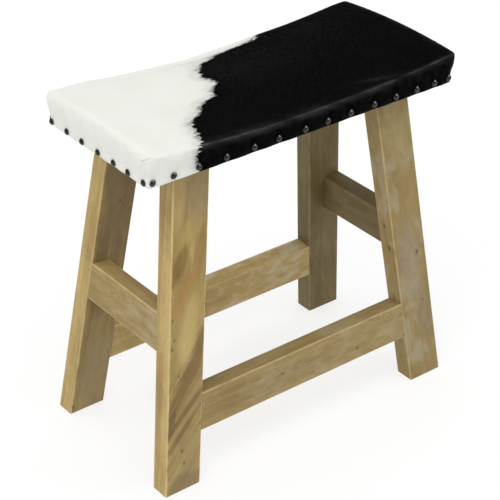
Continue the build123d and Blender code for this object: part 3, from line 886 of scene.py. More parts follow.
def hide_materials():
    """The haired side: black and white by the edge's distance, broken into tufts by noise
    drawn out along the hair. The flesh side: pale suede."""
    hide = bpy.context.scene.bench_hide
    finish = Finish("cowhide_hair")
    edge = finish.attribute("hide_edge")
    map_x, map_y = finish.map_xy()
    along = map_x * MAP_SIDE
    across = map_y * MAP_SIDE
    lay = across + (finish.grain(along / 60.0, across / 60.0, 1.0) - 0.5) * 9.0
    coarse = finish.grain(along / 26.0, lay / 6.5, 3.0, 3.0, 0.6)
    tufts = finish.grain(along / 12.0, lay / 2.0, 5.0, 3.0, 0.6)
    fine = finish.grain(along / 5.0, lay / 0.55, 8.0, 2.0, 0.6)
    broken = edge + (coarse - 0.5) * 17.0 + (tufts - 0.5) * 15.0 + (fine - 0.5) * 4.0
    black = finish.step(broken, -0.9, 0.9)
    cloud = finish.grain(along / 70.0, across / 55.0, 11.0, 3.0, 0.55)
    white_tone = 0.965 + (fine - 0.5) * 0.09 + (cloud - 0.5) * 0.07
    warm = finish.mix(finish.step(cloud, 0.35, 0.7), tuple(hide.white), (0.77, 0.78, 0.715))
    white = finish.scaled(warm, white_tone)
    shaded = finish.mix(finish.step(edge, -14.0, 2.0), white, (0.62, 0.61, 0.56))
    white = finish.mix(0.35, white, shaded)
    black_tone = 0.75 + fine * 0.55 + (coarse - 0.5) * 0.5
    dark = finish.scaled(tuple(hide.black), black_tone)
    colour = finish.mix(black, white, dark)
    ends = finish.step(fine, 0.3, 0.75)
    painted_sheen_and_gloss = finish.attribute("hide_sheen")
    # Painted highlight: along the painted sheen, the black hair's colour is lightened toward the
    # sheen colour.
    colour = finish.mix(black * painted_sheen_and_gloss, colour, SHEEN_PAINT_COLOUR)
    pleat_shade_and_dent = corner_pleat_shade_and_dent(finish)
    # Painted shade: the colour is darkened along the gathers.
    colour = finish.scaled(colour, 1.0 - pleat_shade_and_dent * 0.22)
    height = fine * 0.5 + tufts * 0.5 - pleat_shade_and_dent * 2.0
    finish.surface(
        {
            "Base Color": colour,
            "Roughness": 0.58 - black * 0.10 + (ends - 0.5) * 0.10,
            "Specular IOR Level": HAIR_SPECULAR,
            "Coat Weight": black * painted_sheen_and_gloss * SHEEN_COAT,
            "Coat Roughness": COAT_ROUGHNESS,
            "Normal": finish.bump(height, 0.0004, 0.35),
        }
    )
    suede = Finish("cowhide_flesh")
    place = suede.object_place()
    nap = suede.noise(place, 900.0, 3.0, 0.6)
    blotch = suede.noise(place, 22.0, 3.0, 0.5)
    tone = 0.8 + nap * 0.25 + (blotch - 0.5) * 0.2
    base = suede.scaled(tuple(hide.flesh), tone)
    suede.surface(
        {
            "Base Color": base,
            "Roughness": 0.85 + (nap - 0.5) * 0.1,
            "Normal": suede.bump(nap, 0.0004, 0.6),
        }
    )
    return finish.material, suede.material


def hair_material(name, base, brightened, dull, shine):
    """Hair read from its map: tone to the right, and bands of painted sheen upwards, each band a
    painted highlight that moves the colour toward the second colour and adds coat.
    """
    finish = Finish(name)
    tone, height = finish.map_xy()
    painted_sheen_and_gloss = (height * float(SHEEN_BANDS)).floor() / float(SHEEN_BANDS - 1)
    # Painted highlight: higher bands move the colour toward the second colour, which for the black
    # hair is the painted sheen colour.
    colour = finish.mix(painted_sheen_and_gloss, base, brightened)
    colour = finish.scaled(colour, 0.90 + tone * 0.16)
    finish.surface(
        {
            "Base Color": colour,
            "Roughness": 0.46 + dull + tone * 0.08,
            "Specular IOR Level": HAIR_SPECULAR,
            "Coat Weight": painted_sheen_and_gloss * shine,
            "Coat Roughness": COAT_ROUGHNESS,
        }
    )
    return finish.material


class Ribbon:
    """A strip of the hide laid flat, from hem to hem, as a grid of places and normals.
    Between its lines it is bilinear."""

    def __init__(self, lines_u, lines_v, places, normals):
        self.lines_u = lines_u
        self.lines_v = lines_v
        self.places = places
        self.normals = normals

    def at(self, u, v):
        high_u, high_v = self.lines_u.size - 1.001, self.lines_v.size - 1.001
        place_u = np.interp(u, self.lines_u, np.arange(self.lines_u.size)).clip(0, high_u)
        place_v = np.interp(v, self.lines_v, np.arange(self.lines_v.size)).clip(0, high_v)
        i, j = place_u.astype(int), place_v.astype(int)
        s, t = (place_u - i)[:, None], (place_v - j)[:, None]
        found = []
        for grid in (self.places, self.normals):
            low = grid[i, j] * (1 - s) + grid[i + 1, j] * s
            high = grid[i, j + 1] * (1 - s) + grid[i + 1, j + 1] * s
            found.append(low * (1 - t) + high * t)
        return found


def hide_ribbons(points, faces, lattice):
    """The two ribbons of the hide: along the seat over both ends, and across it over the
    front and the back. Rings are placed by their depth at the seat's ends."""
    normals = vertex_normals(points, faces)
    nx, ny = lattice.count_x, lattice.count_y
    top = np.arange((nx + 1) * (ny + 1)).reshape(nx + 1, ny + 1)
    depths = lattice.side_depths(np.array([END_DEPTH]))[:, 0]
    rings = len(depths)
    perimeter = 2 * (nx + ny)
    start = top.size
    ring = start + np.arange(rings)[:, None] * perimeter + np.arange(perimeter)[None, :]
    ring = np.concatenate([ring, ring[:, :1]], axis=1)
    front = ring[:, :nx + 1]
    right = ring[:, nx:nx + ny + 1]
    back = ring[:, nx + ny:2 * nx + ny + 1][:, ::-1]
    left = ring[:, 2 * nx + ny:2 * nx + 2 * ny + 1][:, ::-1]
    long_index = np.concatenate([left[::-1], top, right], axis=0)
    long_u = np.concatenate(
        [-SEAT_HALF_LENGTH - depths[::-1], lattice.lines_x, SEAT_HALF_LENGTH + depths]
    )
    cross_index = np.concatenate([front[::-1].T, top, back.T], axis=1)
    cross_v = np.concatenate(
        [-SEAT_HALF_WIDTH - depths[::-1], lattice.lines_y, SEAT_HALF_WIDTH + depths]
    )
    along = Ribbon(long_u, lattice.lines_y, points[long_index], normals[long_index])
    cross = Ribbon(lattice.lines_x, cross_v, points[cross_index], normals[cross_index])
    return along, cross


def hair_tufts(ribbon, low, high, fall, rng):
    """Tufts of hair rooted at random in a rectangle of a ribbon. Each is a thin closed
    pyramid from its root to its tip, which lies `fall` further on the flat hide and stands
    a little off it. Returns the roots on the flat hide, and each tuft's corners, their
    normals and its tone."""
    hide = bpy.context.scene.bench_hide
    length_mm, width_mm = hide.hair_length / MM, hide.hair_width / MM
    area = (high[0] - low[0]) * (high[1] - low[1])
    count = int(area * HAIR_DENSITY)
    u = rng.uniform(low[0], high[0], count)
    v = rng.uniform(low[1], high[1], count)
    length = length_mm * rng.uniform(0.65, 1.25, count)
    turn = rng.normal(0.0, 0.16, count)
    swirl = 0.22 * np.sin(u / 47.0 + 1.3) * np.cos(v / 38.0) + 0.12 * np.sin(v / 23.0 + u / 90.0)
    angle = turn + swirl
    way_u = fall[0] * np.cos(angle) - fall[1] * np.sin(angle)
    way_v = fall[0] * np.sin(angle) + fall[1] * np.cos(angle)
    root, out = ribbon.at(u, v)

    def reach(share):
        """The place on the hide, this share of a tuft's length from its root."""
        end_u = np.clip(u + length * share * way_u, ribbon.lines_u[0], ribbon.lines_u[-1])
        end_v = np.clip(v + length * share * way_v, ribbon.lines_v[0], ribbon.lines_v[-1])
        return ribbon.at(end_u, end_v)

    middle, middle_out = reach(0.5)
    sunk = ((middle - (root + reach(1.0)[0]) / 2) * middle_out).sum(axis=1)
    length = length * np.clip(np.sqrt(0.3 / np.maximum(sunk, TINY)), 0.35, 1.0)
    tip, tip_out = reach(1.0)
    lift = hide.hair_depth / MM * rng.uniform(0.35, 1.25, count)
    from_edge = hide_edge_distance(np.stack([u, v], -1))
    lift = lift * (0.3 + 0.6 * np.clip((from_edge + 14) / 12, 0, 1))
    lift = lift * (1.0 - 0.45 * np.clip((from_edge - 6) / 20, 0, 1))
    tip = tip + tip_out * lift[:, None]
    root = root - out * 0.25
    way = tip - root
    way = way / np.maximum(np.linalg.norm(way, axis=1, keepdims=True), TINY)
    side = np.cross(way, out)
    side = side / np.maximum(np.linalg.norm(side, axis=1, keepdims=True), TINY)
    half = (width_mm / 2 * rng.uniform(0.6, 1.3, count))[:, None]
    corners = np.stack([root + side * half, root - side * half, root + out * half * 1.2, tip], 1)
    normals = np.stack([out + side * 0.3, out - side * 0.3, out, tip_out], 1)
    tones = rng.uniform(0.08, 1, count)
    return np.stack([u, v], -1), corners, normals, tones


def hair_mesh(name, corners, normals, tones, painted_sheen_and_gloss):
    """One mesh of many pyramids, four faces each, shaded as the hide under them. On the map
    a tuft is a narrow upright triangle at its own tone, in its band of painted sheen."""
    count = len(corners)
    first = np.arange(count)[:, None, None] * 4
    shape = np.array([[0, 2, 1], [0, 3, 2], [2, 3, 1], [1, 3, 0]])
    faces = (first + shape[None]).reshape(-1, 3)
    mesh = make_mesh(name, corners.reshape(-1, 3), faces)
    u = tones * 0.98 + 0.01
    band = np.floor(np.clip(painted_sheen_and_gloss, 0, 0.999) * SHEEN_BANDS)[:, None]
    corner_u = np.stack([u - 0.004, u + 0.004, u, u], -1)
    corner_v = (band + np.array([[0.04, 0.04, 0.10, 0.96]])) / SHEEN_BANDS
    uv = np.stack([corner_u, corner_v], -1)[:, shape].reshape(-1, 2)
    set_uv(mesh, uv)
    normals = normals.reshape(-1, 3)
    normals = normals / np.linalg.norm(normals, axis=1, keepdims=True)
    mesh.normals_split_custom_set_from_vertices(normals)
    return mesh


# Wood


def leg_coordinates(finish, side_x, side_y):
    """Along, across and through a leg: it leans evenly, so its centre line moves with height."""
    x, y, z = finish.object_xyz()
    centre_x = side_x * (FOOT_X * MM - LEAN_LENGTH * z)
    centre_y = side_y * (FOOT_Y * MM - LEAN_WIDTH * z)
    return z, x - centre_x, y - centre_y


def stretcher_coordinates(finish, node_name, along_x, lean):
    """Along, across and through a stretcher, whose stock leans with the legs."""
    low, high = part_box(node_name)
    centre = (low + high) / 2
    x, y, z = finish.object_xyz()
    rise = z - centre.z
    slip = (y - centre.y) if along_x else (x - centre.x)
    cosine, sine = math.cos(math.atan(lean)), math.sin(math.atan(lean))
    across = rise * cosine + slip * sine
    through = slip * cosine - rise * sine
    return (x if along_x else y), across, through


def mango_wood(name, coordinates, half_across, half_through, figure):
    """Waxed mango wood. Growth bands are noise along lines that run up the member and, below
    `fan`, lean over. Patches are ellipses that the streaks break up. Knots, grain, pores and
    pale edges, partly abrasion and partly a painted highlight, go on top. Each face can be made
    lighter or darker as painted light and shade, and the piece's tone is partly its own colour
    and partly painted light and shade."""
    wood = bpy.context.scene.bench_wood
    light, tan, brown, dark = (tuple(c) for c in (wood.light, wood.tan, wood.brown, wood.dark))
    finish = Finish(name)
    along, across, through = coordinates(finish)
    seed = figure.get("seed", 0.0)
    start, lean = figure.get("fan", (0.0, 0.0))
    swept = across + along * figure.get("tilt", 0.0)
    if lean:
        below = start - along
        slip = ((below * below + 0.0016) ** 0.5 + below) * 0.5 * lean
        swept = swept + slip * (1.0 - finish.step(across / -half_across, 0.94, 0.99))
    grain = finish.grain
    wide = grain(along * 5.0, across * 30.0 + seed, through * 30.0)
    wavy = swept + (wide - 0.5) * 0.016
    bands = grain(
        along * 3.2, wavy * 58.0 + seed, through * 50.0 + seed * 0.7, 4.0, 0.58, 0.3
    )
    cords = grain(along * 8.0 + seed, wavy * 185.0, through * 185.0, 3.0, 0.55)
    streaks = grain(along * 17.0, wavy * 470.0, through * 470.0 + seed, 3.0, 0.6)
    pores = grain(along * 120.0, wavy * 1600.0, through * 1600.0 + seed)
    cloud = grain(along * 10.0 + seed, across * 18.0, through * 18.0, 3.0, 0.55)
    blotch = grain(along * 42.0, across * 75.0 + seed, through * 75.0, 3.0, 0.6)
    colour = finish.ramp(
        bands * 0.62 + cords * 0.38,
        [
            (0.33, blend(brown, dark, 0.38)),
            (0.43, brown),
            (0.50, tan),
            (0.58, blend(tan, light, 0.5)),
            (0.67, light),
        ],
    )
    plain = finish.ramp(cloud, [(0.34, blend(tan, brown, 0.4)), (0.64, tan)])
    colour = finish.mix(figure.get("calm", 0.45), colour, plain)
    pale = finish.step(cloud * 0.6 + blotch * 0.4, 0.48, 0.60)
    colour = finish.mix(pale * figure.get("grey", 0.0), colour, (0.46, 0.385, 0.25))
    ragged = (cords - 0.5) * 2.0 + (bands - 0.5) * 1.4 + (blotch - 0.5) * 1.0
    outer_face = finish.step(through / -half_through, 0.88, 0.97)
    for place_a, place_c, reach, width, angle, tint, strength in figure.get("patches", ()):
        cosine, sine = math.cos(math.radians(angle)), math.sin(math.radians(angle))
        off_a, off_c = along - place_a, across - place_c
        long_way = (off_a * cosine + off_c * sine) / reach
        short_way = (off_c * cosine - off_a * sine) / width
        square = long_way * long_way + short_way * short_way + ragged
        cover = (1.0 - finish.step(square, 0.2, 1.7)) * outer_face
        colour = finish.mix(cover * strength, colour, tint)
    for place_a, place_c, place_t, size in figure.get("knots", ()):
        off_a = (along - place_a) * 0.7 + (blotch - 0.5) * 0.006
        off_c = across - place_c + (blotch - 0.5) * 0.006
        off_t = through - place_t
        away = (off_a * off_a + off_c * off_c + off_t * off_t) ** 0.5
        ring = 1.0 - finish.step(away, size * 0.9, size * 2.6)
        heart = 1.0 - finish.step(away, size * 0.35, size * 0.95)
        colour = finish.mix(ring * 0.5, colour, brown)
        colour = finish.mix(heart * 0.85, colour, times(dark, 0.55))
    colour = finish.mix(finish.step(streaks, 0.50, 0.76) * 0.5, colour, brown)
    colour = finish.mix(finish.step(pores, 0.60, 0.74) * 0.5, colour, dark)
    tone = 0.97 + (streaks - 0.5) * 0.30 + (cloud - 0.5) * 0.30 + (blotch - 0.5) * 0.36
    # Painted light and shade: the low-across, high-across and outer faces are made lighter or
    # darker by their own factors.
    low_face_shading, high_face_shading, outer_face_shading = figure.get("sides", (1.0, 1.0, 1.0))
    for share, painted_face_shading in (
        (across / -half_across, low_face_shading),
        (across / half_across, high_face_shading),
        (through / -half_through, outer_face_shading),
    ):
        if painted_face_shading != 1.0:
            tone = tone * (1.0 + finish.step(share, 0.955, 0.985) * (painted_face_shading - 1.0))
    # The piece's tone: partly the wood's own colour and partly painted light and shade.
    piece_tone_and_shade = figure.get("tone", 1.0)
    colour = finish.scaled(colour, tone * piece_tone_and_shade)
    rub = grain(along * 34.0, across * 60.0, through * 60.0 + seed, 3.0)
    # Pale edges along the arrises: partly abrasion and partly a painted highlight.
    away = (half_across - abs(across)).maximum(half_through - abs(through))
    edge_wear_and_highlight = 1.0 - finish.step(away + (rub - 0.5) * 0.0052, 0.0009, 0.0031)
    pale_edge_colour = tuple(min(1, c) for c in times(light, 1.1 * piece_tone_and_shade**0.5))
    colour = finish.mix(edge_wear_and_highlight * figure.get("edge_highlight_and_wear", 0.55), colour, pale_edge_colour)
    height = streaks * 0.5 - finish.step(pores, 0.58, 0.72) * 0.8 + rub * 0.4
    finish.surface(
        {
            "Base Color": colour,
            "Roughness": 0.58 + (streaks - 0.5) * 0.18 + finish.step(pores, 0.6, 0.74) * 0.1,
            "Specular IOR Level": 0.3,
            "Normal": finish.bump(height, 0.00035, 0.5),
        }
    )
    return finish.material


def plain_timber(name, base, dark, axis, pitch=1.0):
    """Softwood or beech with straight grain along one axis."""
    finish = Finish(name)
    places = list(finish.object_xyz())
    stretch = [90.0 / pitch] * 3
    stretch[axis] = 5.0
    grain = finish.grain(*(p * s for p, s in zip(places, stretch)), 4.0, 0.55, 0.4)
    fine = finish.grain(*(p * s * 7.0 for p, s in zip(places, stretch)))
    colour = finish.ramp(grain, [(0.36, dark), (0.52, base), (0.7, times(base, 1.12))])
    colour = finish.mix(finish.step(fine, 0.55, 0.75) * 0.35, colour, dark)
    finish.surface(
        {
            "Base Color": colour,
            "Roughness": 0.7 + (fine - 0.5) * 0.15,
            "Normal": finish.bump(grain * 0.5 + fine * 0.5, 0.0004, 0.5),
        }
    )
    return finish.material


def worn_metal(name, base, bright, rough, speckle, lacquer):
    """Metal with a mottled patina, scuffed brighter and smoother in spots, under lacquer."""
    finish = Finish(name)
    place = finish.object_place()
    mottle = finish.noise(place, speckle, 4.0, 0.6)
    hammer = finish.noise(place, speckle * 0.5, 2.0, 0.5)
    brightened = finish.step(mottle, 0.52, 0.74)
    colour = finish.mix(brightened * 0.7, tuple(base), tuple(bright))
    finish.surface(
        {
            "Base Color": colour,
            "Metallic": 0.8,
            "Roughness": rough + (mottle - 0.5) * 0.16 - brightened * 0.06,
            "Coat Weight": lacquer * (1.0 - brightened * 0.5),
            "Coat Roughness": 0.16,
            "Normal": finish.bump(hammer, 0.00012, 0.3),
        }
    )
    return finish.material


def open_foam(name, base):
    """Cell foam: small round pits by Voronoi distance."""
    finish = Finish(name)
    place = finish.object_place()
    cells = finish.cells(place, 900.0)
    blotch = finish.noise(place, 30.0, 3.0, 0.6)
    # Painted shade: the pits are darker in colour, besides their bump.
    colour = finish.scaled(base, 0.78 + cells * 0.3 + (blotch - 0.5) * 0.16)
    finish.surface(
        {
            "Base Color": colour,
            "Roughness": 0.9 - cells * 0.05,
            "Normal": finish.bump(cells, 0.0006, 0.7),
        }
    )
    return finish.material


def pressed_cloth(name, base, bright):
    """Pressed cloth: short crossed fibres by two stretched noises and small bond points."""
    finish = Finish(name)
    x, y, z = finish.object_xyz()
    one = finish.grain(x * 2600.0, y * 300.0, z * 900.0, 2.0, 0.6)
    two = finish.grain(x * 300.0, y * 2600.0, z * 900.0, 2.0, 0.6)
    bond = finish.step(finish.cells(finish.object_place(), 520.0, 0.15), 0.18, 0.34)
    fibre = one.maximum(two)
    colour = finish.mix(finish.step(fibre, 0.5, 0.78) * bond, base, bright)
    finish.surface(
        {
            "Base Color": colour,
            "Roughness": 0.8 - (1.0 - bond) * 0.2,
            "Normal": finish.bump(fibre * bond, 0.0004, 0.6),
        }
    )
    return finish.material


# One operator for each piece or group of like pieces


class BENCH_OT_hide(bpy.types.Operator):
    """Make the hide: a pulled and nailed skin over the seat, turned under as a hem"""

    bl_idname = "bench.hide"
    bl_label = "Hide"

    def execute(self, context):
        hide = context.scene.bench_hide
        points, faces, sides, lattice = hide_surface()
        BENCH["hide"] = (points, faces, lattice)
        normals = vertex_normals(points, faces)
        inner = points - normals * (hide.thickness / MM)
        count = len(points)
        perimeter = 2 * (lattice.count_x + lattice.count_y)
        last = np.arange(count - perimeter, count)
        following = np.roll(last, -1)
        join = np.stack([last, last + count, following + count, following], -1)
        side_of = np.repeat(
            [0, 1, 2, 3], [lattice.count_x, lattice.count_y] * 2
        )
        all_faces = np.concatenate([faces, faces[:, ::-1] + count, join])
        all_points = np.concatenate([points, inner])
        mesh = make_mesh("cowhide", before_smoothing(all_points, all_faces), all_faces)
        uv = np.zeros((len(all_faces), 4, 2))
        edge = np.zeros(count)
        face_sides = np.concatenate([sides, sides, side_of])
        for side in (-1, 0, 1, 2, 3):
            flat = lattice.flat(side)
            doubled = np.concatenate([flat, flat])
            chosen = face_sides == side
            uv[chosen] = doubled[all_faces[chosen]]
            if side in (-1, 0, 2):
                seen = np.unique(faces[sides == side])
                edge[seen] = hide_edge_distance(flat)[seen]
        ends = np.concatenate([np.unique(faces[sides == 1]), np.unique(faces[sides == 3])])
        beyond = np.setdiff1d(ends, np.unique(faces[(sides == -1) | (sides == 0) | (sides == 2)]))
        edge[beyond] = np.where(points[beyond, 0] > 0, FAR_BLACK, FAR_WHITE)
        uv = (uv + np.array(MAP_CENTRE)) / MAP_SIDE
        outer_count = len(faces)
        inner_faces = slice(outer_count, 2 * outer_count)
        uv[inner_faces] = uv[inner_faces] * INNER_SHARE + np.array((0.0, INNER_START))
        uv[inner_faces, :, 1] = np.clip(uv[inner_faces, :, 1], 0, 0.999)
        set_uv(mesh, uv)
        set_float(mesh, "hide_edge", np.concatenate([edge, edge]))
        x, y, _, _, laid, _ = lattice.points()
        over_x = np.where(np.abs(x) >= SEAT_HALF_LENGTH - TINY, laid, 0) * np.sign(x)
        over_y = np.where(np.abs(y) >= SEAT_HALF_WIDTH - TINY, laid, 0) * np.sign(y)
        # The painted sheen, a painted highlight, is kept on each vertex for the hair's colour.
        sheen = hide_sheen(np.stack([x + over_x, y + over_y], -1))
        set_float(mesh, "hide_sheen", np.concatenate([sheen, sheen]))
        haired, flesh = hide_materials()
        mesh.materials.append(haired)
        mesh.materials.append(flesh)
        slots = np.zeros(len(all_faces), np.int32)
        slots[outer_count:] = 1
        mesh.polygons.foreach_set("material_index", slots)
        piece = add_piece("cowhide", mesh)
        smooth = piece.modifiers.new("smooth", "SUBSURF")
        smooth.levels = smooth.render_levels = 1
        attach(piece, "root")
        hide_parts("cowhide_cover")
        return {"FINISHED"}


class BENCH_OT_hair(bpy.types.Operator):
    """Plant the short hair on the hide, white and black, lying towards the left end"""

    bl_idname = "bench.hair"
    bl_label = "Hair"

    def execute(self, context):
        hide = context.scene.bench_hide
        rng = np.random.default_rng(context.scene.bench_stage.hair_seed)
        points, faces, lattice = BENCH["hide"]
        along, cross = hide_ribbons(points, faces, lattice)
        half_x, half_y = SEAT_HALF_LENGTH, SEAT_HALF_WIDTH
        deep = END_DEPTH - 1.0
        nails = nail_places()
        beds = {
            "top": [(along, (-half_x, -half_y), (half_x, half_y), (-1.0, 0.0))],
            "sides": [
                (along, (-half_x - deep, -half_y), (-half_x, half_y), (-1.0, 0.0)),
                (along, (half_x, -half_y), (half_x + deep, half_y), (-1.0, 0.0)),
                (cross, (-half_x, -half_y - deep), (half_x, -half_y), (-0.75, -0.66)),
                (cross, (-half_x, half_y), (half_x, half_y + deep), (-0.75, 0.66)),
            ],
        }
        white = tuple(hide.white)
        black = tuple(hide.black)
        materials = {
            "white": hair_material("hair_white", white, white, 0.10, 0.0),
            # The black hair's second colour is the painted sheen colour, a painted highlight.
            "black": hair_material("hair_black", black, SHEEN_PAINT_COLOUR, 0.0, SHEEN_COAT),
        }
        for part, rows in beds.items():
            found = [hair_tufts(*row, rng) for row in rows]
            roots, corners, normals, tones = (np.concatenate(group) for group in zip(*found))
            # Each tuft's painted sheen, a painted highlight read from the hide laid flat.
            painted_sheen_and_gloss = hide_sheen(roots) + rng.normal(0, 0.06, len(roots))
            jitter = rng.normal(0.0, 1.6, len(roots)) + 2.4 * np.sin(roots[:, 1] / 2.1)
            jitter = jitter + 3.0 * np.sin(roots[:, 1] / 6.3 + 1.0)
            from_edge = hide_edge_distance(roots)
            dark = from_edge + jitter > 0
            beside_edge = from_edge > -8.0 - rng.exponential(9.0, len(roots))
            clear = np.ones(len(roots), bool)
            for nail in nails:
                near = np.linalg.norm(corners - nail, axis=2).min(axis=1)
                clear &= near > NAIL_BARE_RADIUS
            clear &= corners[:, :, 2].min(axis=1) > SEAT_BASE - 0.6
            for shade, chosen in (("white", ~dark & clear & beside_edge), ("black", dark & clear)):
                name = f"hair_{shade}_{part}"
                mesh = hair_mesh(
                    name, corners[chosen], normals[chosen], tones[chosen], painted_sheen_and_gloss[chosen]
                )
                mesh.materials.append(materials[shade])
                piece = add_piece(name, mesh)
                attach(piece, "root")
        return {"FINISHED"}


def offset_depth(inside, radius, offset):
    """Depth below the top edges of the surface that lies `offset` within the seat's skin, at
    a distance inside its outline: a quarter circle, then level."""
    reach = np.clip(radius - inside, 0, None)
    return radius - np.sqrt(np.maximum((radius - offset) ** 2 - reach**2, 0))


def foam_pad():
    """The pad's closed surface. Its top follows the hide's inner side, its underside the
    deck, and its sides are a little hollow between the two."""
    inset, corner, gap, floor_depth = 4.2, 15.0, 3.3, 10.25
    lattice = PadLattice(FOAM_CELL)
    lines_x = lattice.lines_x * (1 - inset / SEAT_HALF_LENGTH)
    lines_y = lattice.lines_y * (1 - inset / SEAT_HALF_WIDTH)
    half_x, half_y = lines_x[-1], lines_y[-1]
    grid_x, grid_y = (g.ravel() for g in np.meshgrid(lines_x, lines_y, indexing="ij"))
    count_x, count_y = lines_x.size - 1, lines_y.size - 1
    side_shares = np.array((0.25, 0.5, 0.75, 1.0))
    rim, faces, _ = box_lattice(count_x, count_y, side_shares.size, True)
    plan_x, plan_y = rounded_plan(grid_x, grid_y, half_x, half_y, corner)
    inside, out_x, _ = outline_frame(
        plan_x, plan_y, SEAT_HALF_LENGTH, SEAT_HALF_WIDTH, lattice.upper_corner
    )
    under = saddle_edge(plan_x) - floor_depth
    top = saddle_edge(plan_x) + crown(plan_y) + hand_work(plan_x, plan_y)
    top = np.maximum(top - offset_depth(inside, edge_round(plan_x, out_x), gap), under + 1.2)
    parts = [np.stack([plan_x, plan_y, top], -1)]
    rim_x, rim_y = plan_x[rim], plan_y[rim]
    _, out_x, out_y = outline_frame(rim_x, rim_y, half_x, half_y, corner)
    for share in side_shares:
        pinch = 0.5 * math.sin(math.pi * share)
        height = top[rim] + share * (under[rim] - top[rim])
        parts.append(np.stack([rim_x - pinch * out_x, rim_y - pinch * out_y, height], -1))
    floor = np.stack([plan_x, plan_y, under], -1).reshape(count_x + 1, count_y + 1, 3)
    parts.append(floor[1:-1, 1:-1].reshape(-1, 3))
    return np.concatenate(parts), faces


def wadding_ring():
    """A closed ring: a flat lens profile, its bottom level and its top along the saddle,
    carried round the frame's rounded outline. Its outer side follows the hide's draw."""
    corner, low, below_edge = 3.2, SEAT_BASE + 25.5, 10.9
    inset_x, inset_y, skin = 5.55, 7.05, 3.0
    steps_x, steps_y = 90, 40
    inner_x, inner_y = SEAT_HALF_LENGTH - inset_x, SEAT_HALF_WIDTH - inset_y
    line_x = np.linspace(-inner_x, inner_x, steps_x + 1)
    line_y = np.linspace(-inner_y, inner_y, steps_y + 1)
    sharp_x = np.concatenate(
        [line_x[:-1], np.full(steps_y, inner_x), line_x[:0:-1], np.full(steps_y, -inner_x)]
    )
    sharp_y = np.concatenate(
        [np.full(steps_x, -inner_y), line_y[:-1], np.full(steps_x, inner_y), line_y[:0:-1]]
    )
    x, y = rounded_plan(sharp_x, sharp_y, inner_x, inner_y, corner)
    _, out_x, out_y = outline_frame(x, y, inner_x, inner_y, corner)
    high = saddle_edge(x) - below_edge
    rises = np.array((0.0, 0.0, 0.12, 0.35, 0.6, 0.85, 1.0, 1.0, 0.75, 0.5, 0.25))
    outer = np.array((0.3, 1.0, 1.0, 1.0, 1.0, 1.0, 1.0, 0.3, 0.0, 0.0, 0.0))
    z = low + rises[:, None] * (high - low)[None, :]
    swell = swell_draw(z - SEAT_BASE)
    room_x = inset_x - skin - END_DRAW * swell
    room_y = inset_y - skin - SIDE_DRAW * swell
    loft = 1 - 0.06 * (1 + np.sin(x / 9.0 + y / 7.0))[None, :]
    thick = outer[:, None] * np.where(np.abs(out_x)[None, :] > 0.5, room_x, room_y) * loft
    points = np.stack([x + thick * out_x, y + thick * out_y, z], -1).reshape(-1, 3)
    index = np.arange(z.size).reshape(z.shape)
    after = np.roll(index, -1, axis=0)
    faces = np.stack(
        [index, np.roll(index, -1, axis=1), np.roll(after, -1, axis=1), after], -1
    ).reshape(-1, 4)
    return points, faces


def dust_sheet():
    """The cloth under the seat, flat but for a slight sag in its middle and shallow pulls
    from its staples. Grid lines run along the cut-outs for the legs, whose cells are left
    out. Returns the points, the faces and the area of the cut in square millimetres."""
    half_x, half_y = SEAT_HALF_LENGTH - DUST_INSET_X, SEAT_HALF_WIDTH - DUST_INSET_Y
    height, sag = SEAT_BASE - 0.55, 1.1
    leg_x = FOOT_X - LEAN_LENGTH * height
    leg_y = FOOT_Y - LEAN_WIDTH * height
    hole_x = (leg_x - DUST_HOLE_X / 2, leg_x + DUST_HOLE_X / 2)
    hole_y = (leg_y - DUST_HOLE_Y / 2, leg_y + DUST_HOLE_Y / 2)

    def lines(half, hole, cell):
        """Equal steps between the edges and the sides of the cut-outs."""
        marks = (-half, -hole[1], -hole[0], hole[0], hole[1], half)
        steps = []
        for start, end in zip(marks[:-1], marks[1:]):
            count = max(2, int(round((end - start) / cell)))
            steps.append(np.linspace(start, end, count + 1)[:-1])
        return np.concatenate([*steps, [half]])

    line_x, line_y = lines(half_x, hole_x, 7.0), lines(half_y, hole_y, 7.0)
    x, y = np.meshgrid(line_x, line_y, indexing="ij")
    open_share = (1 - (x / half_x) ** 2) * (1 - (y / half_y) ** 2)
    near_leg = hump(np.hypot(np.abs(x) - leg_x, np.abs(y) - leg_y), 34.0)
    pulls = 0.16 * np.sin(x / 19.6) * hump(np.abs(y) - half_y, 16.0)
    pulls = pulls + 0.14 * np.sin(y / 15.0) * hump(np.abs(x) - half_x, 16.0)
    z = height - sag * open_share * (1 - 0.6 * near_leg) + pulls
    points = np.stack([x, y, z], -1).reshape(-1, 3)
    index = np.arange(x.size).reshape(x.shape)
    cells = np.stack([index[:-1, :-1], index[:-1, 1:], index[1:, 1:], index[1:, :-1]], -1)
    mid_x = np.abs(line_x[:-1] + line_x[1:]) / 2
    mid_y = np.abs(line_y[:-1] + line_y[1:]) / 2
    cut = ((mid_x > hole_x[0]) & (mid_x < hole_x[1]))[:, None]
    cut = cut & ((mid_y > hole_y[0]) & (mid_y < hole_y[1]))[None, :]
    faces = cells[~cut]
    used = np.unique(faces)
    place = np.full(len(points), -1)
    place[used] = np.arange(used.size)
    area = 4 * half_x * half_y - 4 * DUST_HOLE_X * DUST_HOLE_Y
    return points[used], place[faces], area


class BENCH_OT_padding(bpy.types.Operator):
    """Make the foam pad and the wadding strip under the hide"""

    bl_idname = "bench.padding"
    bl_label = "Padding"

    def execute(self, context):
        foam = add_piece("foam_pad", make_mesh("foam_pad", *foam_pad()))
        foam.data.materials.append(open_foam("foam_cream", (0.72, 0.64, 0.42)))
        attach(foam, "root")
        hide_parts("seat_foam")
        strip = add_piece("wadding_strip", make_mesh("wadding_strip", *wadding_ring()))
        strip.data.materials.append(
            pressed_cloth("wadding_white", (0.72, 0.71, 0.68), (0.86, 0.85, 0.82))
        )
        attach(strip, "root")
        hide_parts("side_wadding")
        return {"FINISHED"}


